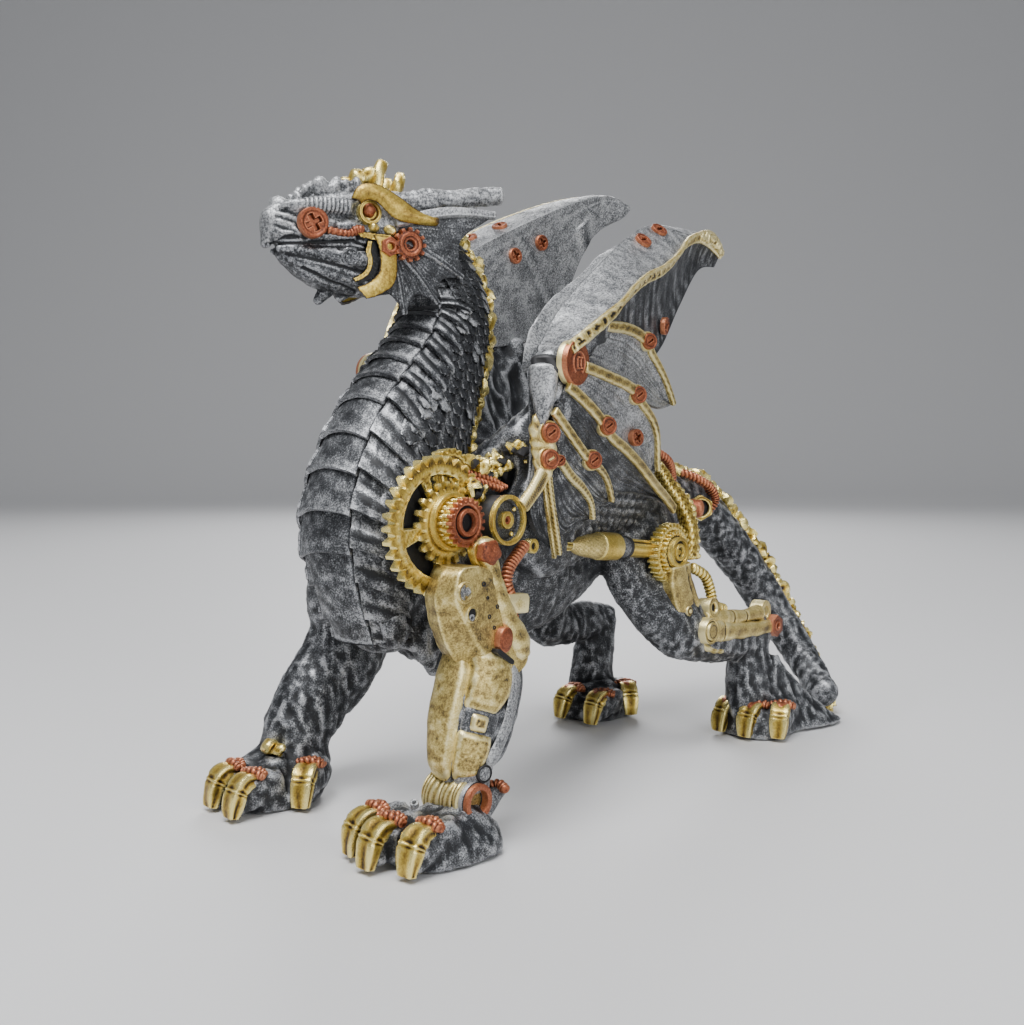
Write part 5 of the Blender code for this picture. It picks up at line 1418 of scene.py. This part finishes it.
for claw, heading, r in (((43, 8), 0, 2.4), ((-31, 1), 0.9, 2.2)):
    base = np.array([claw[0], claw[1], 9.0])
    back = np.array([-math.sin(heading), math.cos(heading), 0]) * (1 if heading == 0 else -1)
    tip = base + back * 8 + np.array([0, 0, 3.4])
    parts += tube([(*base, r * 1.2, r * 1.2), (*((base + tip) / 2 + np.array([0, 0, 0.8])), r, r),
                   (*tip, r * 0.5, r * 0.5)], 20, 18,
                  ACROSS, 2.2, D if heading == 0 else G)
parts += coil_tube([(40.5, 13.6, 13.6), (43.4, 14.4, 14.4), (46.4, 13.4, 13.8)], 1.4, 1.4, 0.4, (0, 0, 1), C, 8)
parts += lump((-25.5, -6, 15.8), 2.4, 21, (1.1, 1, 0.9), 0.3, G, 12, 18)
parts += lump((-22.6, -5, 15.4), 1.7, 22, (1.1, 1, 0.9), 0.3, G, 12, 18)
solid("claws_and_wire", parts)

# %% [markdown]
# ## The mechanical foreleg
# The left shoulder carries a large open gear with smaller wheels in front. Below it a gold housing holds the upper
# arm, and smooth gold panels with dark seams cover the forearm down to a drum at the ankle.

# %% shoulder wheels
WINDOWS = ((84, 23), (150, 31), (233, 31), (300, 24), (20, 27))


def open_gear(share, angle, radius):
    """The big gear's face: a raised rim and windows between spokes."""
    turn = np.degrees(angle) % 360
    opening = np.full(radius.shape, -1.0)
    for middle, half in WINDOWS:
        away = np.abs((turn - middle + 180) % 360 - 180)
        opening = np.maximum(opening, np.minimum((half - away) / 4,
            np.minimum((radius - 6.6) / 0.6, (13.0 - radius) / 0.6)))
    cut = np.clip(opening, 0, 1)
    floor = -2.4
    rim = 0.35 * np.exp(-((radius - 14.6) / 0.9) ** 2)
    worn = 0.10 * np.sin(angle * 31 + radius * 2.1) * np.sin(radius * 4.3)
    return np.where(opening > 0, floor * np.minimum(1, cut * 2.5), rim + worn)


# Near-black, painted shade: the windows and sunk parts of the wheel faces, the drum's wall under its gold cap and
# every fourth nugget of the crust.
parts = dial((31.6, 3, 81), ACROSS, teeth(15.7, 2.1, 32, soft=3.5), open_gear, 2.6, 30, 32 * 8, G, hollow=(-1.2, K))
parts += gear((28.5, 9.5, 92.5), (1, 0, 0.1), 6.6, 1.0, 22, 4.0, ring_height((4.2, 5.6, -0.35), (0, 2.0, 0.5)), G)
parts += dial((33.6, 4.4, 81.6), ACROSS, teeth(8.7, 1.9, 20, soft=5), ring_height((7.4, 8.4, 0.25)), 1.8, 16, 260,
              G)
parts += ring((33, 5, 82), ACROSS, 6.3, 7.4, 1.0, 4.0, G, 96)
parts += dial((34, 5.4, 82), ACROSS, teeth(5.0, 1.0, 24, soft=3), ring_height((0, 4.8, -1.0)), 3.6, 12, 240, G,
              hollow=(-0.6, K))
parts += dial((35.4, 6, 82), ACROSS, teeth(5.2, 1.1, 20, soft=3), lambda s, a, r: 0 * r, 3.6, 8, 200, G)
parts += dial((39.0, 6, 82), ACROSS, teeth(5.3, 1.0, 20, soft=3),
              ring_height((3.55, 4.25, -1.0), (0.0, 2.45, -1.6)), 1.7, 28, 200,
              C, hollow=(-0.7, K))
parts += ring((35.5, 6, 82), ACROSS, 2.5, 3.5, 3.8, 5.7, C, 64)
parts += dial((30, 21.6, 81.7), ACROSS, lambda a: 6.2, ring_height((0, 5.2, -0.7)), 9.2, 20, 72, D)
parts += ring((30, 21.6, 81.7), ACROSS, 5.8, 6.4, 0.2, 9.5, K, 80)
parts += ring((30, 21.6, 81.7), ACROSS, 5.5, 6.6, 9.4, 10.8, G, 80)
parts += ring((30, 21.6, 81.7), ACROSS, 1.1, 2.3, 8.4, 10.2, G, 40)
parts += ring((30, 21.6, 81.7), ACROSS, 0.5, 1.25, 8.4, 9.9, C, 32)
for i in range(4):
    a = i * math.pi / 2 + 0.6
    parts += lump((38.7, 21.6 + 4.6 * math.cos(a), 81.7 + 4.6 * math.sin(a)), 0.6, i, (1, 1, 1), 0.1, G, 8, 10)
parts += dial((39.4, 11.6, 74.2), (1, -0.15, 0.05), lambda a: 3.9 + 0.15 * np.sin(5 * a), lambda s, a, r: 0 * r,
              2.6, 10, 40, G)
parts += dial((40.6, 11.4, 74.2), (1, -0.15, 0.05), lambda a: 3.1 + 0.25 * np.cos(5 * a + 1), lambda s, a,
              r: 0.6 * (1 - s ** 3) + 0.25 * np.sin(3 * a) * s * (1 - s),
              3.6, 16, 48, C)
for i in range(54):
    f = 0.10 + 0.90 * i / 53
    at = (31.5 - 8 * f + 1.2 * math.sin(i * 2.3), 16 + 26 * f, 91 + 8.5 * f + 1.6 * math.sin(i * 1.7))
    parts += lump(at, 1.0 + 0.7 * math.sin(i * 1.9) ** 2, 1200 + i, (1, 1.1, 0.9), 0.55, G if i % 4 else K, 7, 11)
parts += coil_tube([(33, 13, 92.5), (34.4, 18, 91.4), (35.4, 24, 89.4)], 1.05, 1.1, 0.35, (0, 0, 1), C, 8)
parts += coil_tube([(32, 15, 94.0), (34, 20.4, 92.4), (35.2, 26, 89.8)], 0.95, 1.1, 0.35, (0, 0, 1), C, 8)
parts += loft([[(30, 13, 97), (33, 14, 96.4), (33, 19, 92.4), (30, 19, 92)],
               [(29, 17, 99), (32, 18, 98.6), (32.4, 21.4, 93.6), (29, 21, 93)]],
              10, 32, 2, G)
# Points on the solid's shoulder, found by a helper program and rounded: see report.md.
SHOULDER_CRUST = [(33.4, 16.0, 96.4), (33.4, 17.7, 97.2), (33.4, 19.3, 95.7), (33.4, 21.4, 93.5),
                  (33.4, 23.5, 93.0),
                  (28.5, 31.0, 94.0), (29.3, 31.6, 92.9), (33.4, 24.2, 95.8), (33.4, 22.1, 94.9),
                  (30.9, 31.2, 99.3),
                  (32.3, 31.8, 100.2), (33.7, 32.4, 101.1), (33.2, 32.3, 99.4), (28.0, 30.1, 97.9),
                  (29.4, 30.7, 96.9),
                  (31.7, 31.7, 97.5), (34.6, 32.9, 100.6), (34.9, 13.7, 91.5), (34.9, 15.7, 90.4),
                  (34.9, 17.7, 89.5),
                  (34.9, 12.4, 89.5), (34.9, 15.0, 88.7), (34.9, 17.0, 88.0), (33.4, 20.7, 90.7),
                  (35.3, 33.5, 99.5),
                  (34.6, 35.0, 97.0), (33.4, 22.8, 91.6), (29.8, 31.0, 96.1), (31.2, 31.6, 95.1)]
# Every third of these nuggets is near-black: painted shade for the hollows of the crust.
for i, at in enumerate(SHOULDER_CRUST):
    parts += lump(at, 1.0 + 0.5 * math.sin(i * 2.3) ** 2, 700 + i, (1, 1, 1.1), 0.55, G if i % 3 else K, 7, 11)
solid("shoulder_wheels", parts)

# %% upper arm housing
LEVELS = [(71.4, 1.0, 0.0, 6.5), (69.6, -1.2, -2.4, 11.5), (64.6, -2.3, -4.4, 14.0), (60, -0.2, -3.8, 15.5),
          (56.4, 2.4, -2.8, 17.0),
          (52, 5.4, -0.8, 20.5), (49, 7.8, 1.2, 24.5), (46.4, 9.6, 3.6, 25.8), (44.2, 11.6, 7.0, 25.0),
          (42.6, 14.0, 11, 22.5), (41.6, 16, 14, 19.5)]


def worn_gold(p):
    return 0.14 * fractal(p, 3.0, 3, 17)


parts = loft([[(32, back, z), (43.4, back, z), (44.4, back - 1.2, z), (44.4, edge, z), (39.4, front, z),
               (33, front + 2.6, z)]
              for z, edge, front, back in LEVELS], 70, 132, 1, A, worn_gold)
parts += tube([(40.8, 11.5, 76.6, 2.6, 3.0), (41.8, 11.8, 71.5, 2.5, 2.8), (42.6, 14.2, 64, 2.4, 2.6),
               (43.2, 17.6, 56.5, 2.4, 3.0),
               (43.2, 21.6, 50.5, 2.6, 3.6), (42.8, 23.4, 46.6, 2.2, 2.6)], 40, 24, ACROSS, 2.6, A,
              relief=lambda t, a: 0.12 * np.sin(t * 41 + 2 * a))
parts += ring((43.0, 0.6, 65.4), ACROSS, 2.0, 2.7, 0.6, 2.3, A, 40)
parts += dial((43.0, 0.6, 65.4), ACROSS, lambda a: 2.0, lambda s, a, r: 0.35 * np.cos(3 * a) * s, 1.6, 12, 36, P)
# Near-black, painted shade: the sunk disc in this ring, the slot, the small holes and the socket at the top.
parts += ring((43.0, 3.0, 59.8), ACROSS, 1.5, 2.2, 0.6, 2.2, A, 40)
parts += dial((43.0, 3.0, 59.8), ACROSS, lambda a: 1.55, lambda s, a, r: 0 * r, 1.7, 8, 32, K)
parts += ring((43.1, 2.8, 58.9), ACROSS, 0.45, 0.95, 0.6, 2.1, P, 24)
parts += dial((43.8, 14.0, 52.1), ACROSS, lambda a: 2.4 + 0.9 * np.sin(a + 0.2) ** 2, lambda s, a,
              r: 0.35 * (1 - s ** 4), 2.6, 14, 48, C)
parts += loft([[(x, 10.1, 49.3), (x, 10.9, 50.5), (x, 16.9, 46.5), (x, 16.3, 45.3)] for x in (42.0, 46.6)], 6, 32,
              2, K)
for y, z, r in ((7.6, 66.8, 0.7), (9.6, 58.4, 0.6), (11.4, 55.4, 0.55), (12.6, 60.6, 0.6), (9.0, 63.2, 0.5),
                (2.4, 55.4, 0.0)):
    if r:
        parts += ring((43.6, y, z), ACROSS, r * 0.45, r, 0.2, 1.1, K, 16)
parts += coil_tube([(37.4, 31.0, 74.2), (38.6, 26.4, 71.8), (39.3, 22.8, 69.2), (39.6, 21.4, 65.4),
                    (39.6, 23.0, 61.4)], 1.75, 1.05,
                   0.42, ACROSS, C, 8)
parts += coil_tube([(39.4, 23.6, 60), (39.4, 24.6, 56.6), (39.0, 24.2, 53.6)], 1.4, 1.0, 0.4, ACROSS, C, 8)
parts += bar((40.2, 19.4, 60.2), (40.2, 26.8, 59.6), 2.6, 2.6, (0, 0, 1), A)
parts += ring((36.6, 33.4, 74.0), ACROSS, 1.0, 2.0, 0.0, 2.4, G, 32)
parts += dial((36.6, 33.4, 74.0), ACROSS, lambda a: 1.2, lambda s, a, r: 0 * r, 1.6, 6, 24, K)
solid("upper_arm", parts)

# %% forearm and ankle
FOREARM = [(37, 16.4, 50, 6.0, 9.0), (37.6, 13.6, 40, 7.4, 11.0), (38, 9.4, 29, 7.2, 10.4),
           (38.6, 6.6, 20, 6.0, 7.8), (38.4, 7.6, 11, 5.0, 5.4)]


def patch(rows, t, angle, lift, finish, n=30, m=30, border=0.07, thick=1.2, seed=0, relief=None):
    """A panel on a tube: t and angle are its two limits, an angle limit may be a list that runs along it, its border
    falls away over a share of its size, its middle bulges and its corners are rounded."""
    s, w = np.linspace(0, 1, n)[:, None], np.linspace(0, 1, m)[None]
    tt = t[0] + (t[1] - t[0]) * s + 0 * w
    narrow = 1 - 0.16 * np.abs(2 * s - 1) ** 6
    low, high = (np.interp(s, np.linspace(0, 1, np.size(v)), np.atleast_1d(v)) for v in angle)
    aa = np.radians((low + high) / 2 + (high - low) * (w - 0.5) * narrow)
    fall = np.minimum(1, np.minimum(np.minimum(s, 1 - s),
        np.minimum(w, 1 - w)) / border) ** 0.6 * (0.72 + 1.1 * w * (1 - w))
    rise = lift * fall + 0.0 * tt
    grid = on_tube(rows, tt, aa, rise)
    flat = grid.reshape(-1, 3)
    grain = 0.12 * fractal(flat, 2.4, 3, seed).reshape(tt.shape)
    if relief:
        grain = grain + relief(s, w)
    grid = on_tube(rows, tt, aa, rise + grain * fall)
    return sheet(grid, thick, finish)


core = tube(FOREARM, 50, 50, ACROSS, 2.5, D, relief=lambda t,
            a: 0.4 * np.sin(a * 9 + 6 * np.sin(t * 9)) * np.sin(t * 23))
parts = core
parts += patch(FOREARM, (0.12, 3.15), ((74, 60, 60, 64, 70), (112, 160, 172, 172, 160)), 1.7, A, 46, 38, 0.08, 1.4,
               seed=2)
parts += patch(FOREARM, (0.25, 1.62), ((4, -14, -12, 6), (70, 56, 55, 54)), 1.7, A, 32, 32, 0.14, 1.4, seed=3)
parts += patch(FOREARM, (2.16, 3.12), ((2, 0, 12), (56, 58, 62)), 1.4, A, 30, 30, 0.12, 1.4, seed=4)
parts += patch(FOREARM, (1.60, 2.18), (-2, 52), 0.7, D, 24, 24, 0.12, 1.4, seed=15)
parts += patch(FOREARM, (1.72, 2.06), (16, 40), 1.6, A, 16, 16, 0.2, 1.4, seed=5)
parts += patch(FOREARM, (0.3, 2.9), (-78, -34), 1.3, D, 40, 20, 0.2, 1.4, seed=6)
parts += patch(FOREARM, (2.9, 3.5), (-10, 58), 1.0, P, 20, 24, 0.12, 1.2, seed=7)
parts += patch(FOREARM, (0.5, 2.9), ((-66, -70, -60), (-18, -20, -4)), 1.0, P, 40, 26, 0.12, 1.2, seed=17,
               relief=lambda s, w: -0.5 * np.exp(-((w - 0.5) / 0.07) ** 2))
parts += patch(FOREARM, (0.3, 3.0), (178, 262), 1.2, A, 32, 24, 0.08, 1.4, seed=8)
bolt = on_tube(FOREARM, np.array(3.05), np.radians(6.0), np.array(1.2))
parts += ring(bolt, (1, -0.15, 0), 1.7, 2.3, -0.6, 1.2, K, 36)
parts += dial(bolt - np.array([0.4, 0, 0]), (1, -0.15, 0), lambda a: 1.8, lambda s, a, r: 0.3 * (1 - s), 1.5, 10,
              32, P)
parts += tube([(31.5, 2.4, 13.4, 5.2, 5.2), (34, 2.8, 13.2, 5.8, 5.8), (38, 3, 13, 5.8, 5.8), (41, 3, 13, 5.8, 5.8),
               (44.4, 3, 13, 5.7, 5.7)],
              60, 56, (0, 1, 0), 2.0, A, blunt=0.06,
              relief=lambda t, a: -0.55 * np.exp(-((t - 0.55) / 0.016) ** 2) - 0.4 * np.exp(-((t - 0.88) / 0.014) ** 2) + 0.10 * np.sin(t * 50 + a * 3))
# The drum's sunk middle is near-black: painted shade.
parts += dial((44.6, 3, 13), ACROSS, lambda a: 5.1, ring_height((0.0, 3.1, -2.4)), 1.4, 30, 64, D, hollow=(-1.2, K))
parts += ring((44.6, 3, 13), ACROSS, 3.1, 4.7, 0.6, 2.7, C, 72)
parts += ring((37, -9.5, 13.6), (0.3, -0.5, 0.8), 0.5, 1.1, -0.8, 0.8, P, 24)
solid("forearm_and_ankle", parts)
# %% [markdown]
# ## The hip and the hind leg
# A gold piston runs along the flank into the hip gear. A rack comes down from the rump, a flat bar goes down the
# thigh, and two rods with a copper nut run back along the shin. Ribbed hoses fill the gap at the tail's root.

# %% hip, piston, rods and hoses
# Near-black, painted shade: the sunk ring of the hip gear and the hub's middle disc.
parts = dial((32.4, 104.6, 66.2), ACROSS, teeth(8.3, 1.3, 30, soft=3), ring_height((5.6, 7.2, -2.2)), 3.6, 18, 300,
             G, hollow=(-1.4, K))
parts += dial((33.4, 104.6, 66.5), ACROSS, teeth(5.8, 1.0, 24, soft=4), ring_height((4.8, 5.3, -0.5)), 3.6, 14, 240,
              G)
parts += dial((32, 104.4, 66.8), ACROSS, lambda a: 4.0, ring_height((9, 9.1, 0)), 5.9, 6, 40, K)
parts += ring((32, 104.4, 66.8), ACROSS, 3.6, 4.7, 3.0, 6.9, G, 64)
parts += ring((32, 104.4, 66.8), ACROSS, 1.6, 2.7, 3.0, 6.9, G, 56)
parts += ring((32, 104.4, 66.8), ACROSS, 0.3, 0.8, 3.0, 6.3, G, 24)
for i in range(12):
    a = i * math.pi / 6
    parts += lump((34.6, 104.6 + 6.5 * math.cos(a), 66.2 + 6.5 * math.sin(a)), 0.75, 40 + i, (1, 1, 1), 0.3, G, 7,
                  9)


def straight(rows, finish, relief=None, n=40, m=40, square=2.0):
    return tube(rows, n, m, ACROSS, square, finish, relief=relief, blunt=0.25)


parts += straight([(31.8, 54.8, 72.2, 1.5, 1.5), (32.0, 56.4, 72.0, 1.4, 1.4), (32.2, 58.0, 71.9, 1.2, 1.2)], G,
                  lambda t, a: 0.15 * np.sin(6 * a), 12, 24)
parts += straight([(32.2, 57.4, 71.9, 1.4, 1.4), (32.3, 59.8, 71.7, 2.4, 2.4), (32.5, 63.6, 71.4, 3.2, 3.2),
                   (32.6, 69.2, 71.0, 3.85, 3.85)], A,
                  lambda t, a: 0.07 * np.sin(17 * a + t * 30) * np.sin(t * 70))
parts += straight([(32.6, 69.4, 71.0, 4.15, 4.15), (32.6, 73.6, 70.6, 4.2, 4.2), (32.6, 77.8, 70.2, 4.15, 4.15)], G)
parts += straight([(32.6, 77.6, 70.2, 3.2, 3.2), (32.5, 80.2, 69.9, 3.2, 3.2), (32.4, 83, 69.6, 3.1, 3.1)], D)
parts += straight([(32.4, 82.6, 69.6, 3.3, 3.3), (32.3, 83.4, 69.6, 3.35, 3.35), (32.3, 84.2, 69.5, 3.3, 3.3)], K)
parts += straight([(32.2, 84.0, 69.5, 2.9, 2.9), (32.0, 88, 69.0, 2.85, 2.85), (31.8, 93, 68.4, 2.8, 2.8),
                   (31.4, 98, 67.8, 2.7, 2.7)], G,
                  lambda t, a: -0.5 * np.exp(-((a - 5.5) / 0.25) ** 2) + 0.05 * np.sin(9 * a))
# rack from the rump to the hip gear
rack = [(24, 112.6, 93), (26, 115, 88), (29.5, 117.6, 81.6), (32, 119.4, 73.8), (33.4, 117.4, 64)]
rack_rows = [(*p, w, d) for p, w, d in zip(rack, (2.0, 2.2, 2.2, 2.4, 2.2), (1.7, 2.3, 2.6, 2.6, 2.2))]
parts += tube(rack_rows, 110, 44, ACROSS, 3.4, G, relief=lambda t,
              a: 0.16 * np.sin(t * 110 + 2 * np.sin(5 * a)) * np.sin(7 * a + t * 23) + 0.2 * np.sin(t * 17 + a))
edge_line = curve(np.array(rack, float), 16)
for i in range(5, 16):
    parts += lump(edge_line[i] + np.array([1.0, 2.2 + 0.5 * math.sin(i), 0.6]), 1.3, 90 + i, (1, 1, 1), 0.3, G, 9,
                  12)
# thigh plate and knee
parts += loft([[(33.5, y0, z), (37.6, y0 + 0.4, z), (38.4, y0 + 3.4, z + 0.4), (38.0, y1 - 2, z + 0.8),
                (37.2, y1, z + 1), (33.5, y1, z + 1)]
               for z, y0, y1 in ((62, 101.6, 112.4), (57, 101.2, 113.4), (52, 102.8, 116), (48, 104.8, 118.6),
                                 (44, 107.6, 121), (41, 110.4, 122), (39, 113, 121))],
              40, 60, 2, A, lambda p: 0.10 * fractal(p, 2.5, 3,
                  61) - 0.5 * np.exp(-((p[:, 1] - 112.6 + (p[:, 2] - 53) * 0.42) / 0.35) ** 2))
parts += dial((36.5, 109.8, 47.6), ACROSS, lambda a: 1.6, ring_height((0.0, 0.7, 0.4)), 2.4, 10, 28, A)
parts += dial((36.4, 117.0, 40.6), ACROSS, lambda a: 4.2, ring_height((2.6, 3.4, -0.5)), 6.3, 18, 56, A)
parts += dial((38.4, 117.0, 40.6), ACROSS, lambda a: 2.9, slot_height(0, 1, 1, 0, 0.2), 4.6, 12, 40, A)
parts += straight([(37.5, 118, 40.2, 3.0, 3.4), (38.2, 126, 39.2, 2.9, 3.8), (38.4, 134, 38.2, 2.6, 3.1),
                   (38.5, 148, 37.0, 2.5, 2.7),
                   (38.2, 160, 36.6, 2.4, 2.4)], A, lambda t, a: 0.1 * np.sin(t * 40 + 2 * a) - 0.4 * np.exp(-((t - 0.32) / 0.015) ** 2), 60, 32, 3.2)
parts += straight([(37, 121, 44.4, 2.0, 2.0), (37.4, 130, 43.0, 2.6, 2.5), (37.4, 138, 42.2, 2.7, 2.6),
                   (37.6, 146, 41.8, 2.1, 2.1),
                   (37.5, 155, 42.0, 2.6, 2.6)], A, lambda t, a: 0.35 * np.exp(-((t - 0.28) / 0.05) ** 2) - 0.4 * np.exp(-((t - 0.42) / 0.015) ** 2)
                  - 0.4 * np.exp(-((t - 0.7) / 0.012) ** 2), 60, 32, 2.4)
# Its sunk middle is near-black: painted shade.
parts += dial((34.0, 124.0, 46.6), (1, 0, 0.1), lambda a: 3.3, ring_height((0, 1.5, -1.4)), 5.2, 18, 48, A,
              hollow=(-0.8, K))
parts += ring((34.4, 157.6, 41.6), (1, 0.1, 0), 2.2, 4.2, 0.0, 4.6, A, 48)
parts += dial((36.0, 162.4, 36.6), ACROSS, lambda a: 3.5 / np.cos(((a + np.pi / 6) % (np.pi / 3)) - np.pi / 6) * 0.95,
              ring_height((0.0, 1.0, -1.4), (1.0, 1.9, 0.3)), 5.2, 20, 60, C)
parts += tube([(34, 116, 40, 3, 1.2), (36.6, 120, 34.6, 3, 1.2), (36.6, 128, 32.4, 2.8, 1.2),
               (36, 136, 31.6, 2.4, 1.0)], 40, 20, ACROSS,
              3.0, A, relief=lambda t, a: 0.12 * np.sin(t * 37 + a))
parts += coil_tube([(34.5, 117.5, 60.5), (35.4, 123.4, 57.5), (35.6, 126.6, 52.6), (36.0, 128.4, 47.5),
                    (36.4, 133.6, 45.4)], 1.9, 1.5,
                   0.4, ACROSS, G, 8)
parts += tube([(34.6, 156, 37, 5.4, 5.4), (34.4, 160, 36, 4.6, 4.8), (34, 165, 34, 2.2, 2.4)], 24, 28, ACROSS, 2.0,
              D)
# hoses and stub at the tail's root
parts += coil_tube([(19, 118, 98), (20, 124, 95), (18.5, 129, 90.5), (17, 131, 85)], 1.7, 1.2, 0.45, ACROSS, C, 8)
parts += coil_tube([(6, 148, 91), (11.5, 153, 88.4), (14.4, 159.6, 84.6), (15, 162.6, 79.6), (13, 160, 75)], 1.7,
                   1.2, 0.45, ACROSS, C, 8)
parts += coil_tube([(4, 155, 89), (9, 160.6, 86), (11.6, 166, 81.6)], 1.5, 1.2, 0.4, ACROSS, C, 8)
parts += tube([(11, 143, 78, 3.3, 3.3), (15, 145.6, 77.6, 3.3, 3.3), (18, 147.6, 77.4, 3.2, 3.2)], 16, 36,
              (0, 0, 1), 2.0, C)
# Its sunk middle is near-black: painted shade.
parts += dial((14.6, 152.6, 77.4), (0.62, -0.5, 0),
              lambda a: 4.4 / np.cos(((a + np.pi / 6) % (np.pi / 3)) - np.pi / 6) * 0.9,
              ring_height((0, 2.8, -1.6)), 2.6, 18, 60, G, hollow=(-1.0, K))
solid("hip_and_rods", parts)
# %% [markdown]
# ## Camera, floor and light
# The photograph looks at the figure from its front left, a little below the head. The floor and the light are
# plain, so that the figure is all there is to see.

# %% camera, floor and light
camera = bpy.data.cameras.new("camera")
camera.lens, camera.sensor_width = 41.44, 36.0
viewer = bpy.data.objects.new("camera", camera)
viewer.location = (np.array([242.7, -205.9, 105.0]) - POSE_ORIGIN) * MM
viewer.rotation_euler = (math.radians(86.0), 0, math.radians(41.5))
bpy.context.scene.collection.objects.link(viewer)
bpy.context.scene.camera = viewer

floor_mesh = bpy.data.meshes.new("floor")
s = np.linspace(0, 1, 40)
sweep_y = np.where(s < 0.55, s / 0.55 * 2.2, 2.2 + np.sin((s - 0.55) / 0.45 * np.pi / 2) * 0.8)
sweep_z = np.where(s < 0.55, 0, (1 - np.cos((s - 0.55) / 0.45 * np.pi / 2)) * 1.6)
width = np.linspace(-3, 3, 2)
turn = math.radians(41.5)
along = np.array([-math.sin(turn), math.cos(turn), 0])
over = np.array([math.cos(turn), math.sin(turn), 0])
base = (np.array([242.7, -205.9, 0.0]) - POSE_ORIGIN) * MM - along * 0.6
grid = base + along * sweep_y[:, None, None] + over * width[None, :, None] + np.array([0, 0, 1.0]) * sweep_z[:,
    None, None]
grid = grid - np.array([0, 0, 0.0002])
floor_mesh.from_pydata(grid.reshape(-1, 3), [], grid_faces(40, 2, False).tolist())
floor_mesh.shade_smooth()
floor = bpy.data.objects.new("floor", floor_mesh)
bpy.context.scene.collection.objects.link(floor)
floor_paint = bpy.data.materials.new("studio_floor")
floor_paint.use_nodes = True
floor_paint.node_tree.nodes["Principled BSDF"].inputs["Base Color"].default_value = (0.62, 0.62, 0.63, 1)
floor_paint.node_tree.nodes["Principled BSDF"].inputs["Roughness"].default_value = 0.55
floor_mesh.materials.append(floor_paint)

world = bpy.data.worlds.new("studio")
world.use_nodes = True
world.node_tree.nodes["Background"].inputs["Color"].default_value = (0.75, 0.77, 0.8, 1)
world.node_tree.nodes["Background"].inputs["Strength"].default_value = 0.35
bpy.context.scene.world = world


def lamp(name, place, aim, size, power):
    data = bpy.data.lights.new(name, "AREA")
    data.size, data.energy = size, power
    item = bpy.data.objects.new(name, data)
    item.location = place
    way = np.asarray(aim, float) - place
    item.rotation_euler = (math.atan2(math.hypot(way[0], way[1]), -way[2]), 0,
        math.atan2(way[1], way[0]) - math.pi / 2)
    bpy.context.scene.collection.objects.link(item)


lamp("key", np.array([0.10, -0.35, 0.95]), (0, 0, 0.09), 0.55, 14.0)
lamp("fill", np.array([0.95, -0.25, 0.45]), (0, 0, 0.09), 0.7, 5.0)
lamp("rim", np.array([-0.7, 0.75, 0.6]), (0, 0, 0.12), 0.5, 7.0)
print("camera at", [round(float(v), 3) for v in viewer.location])
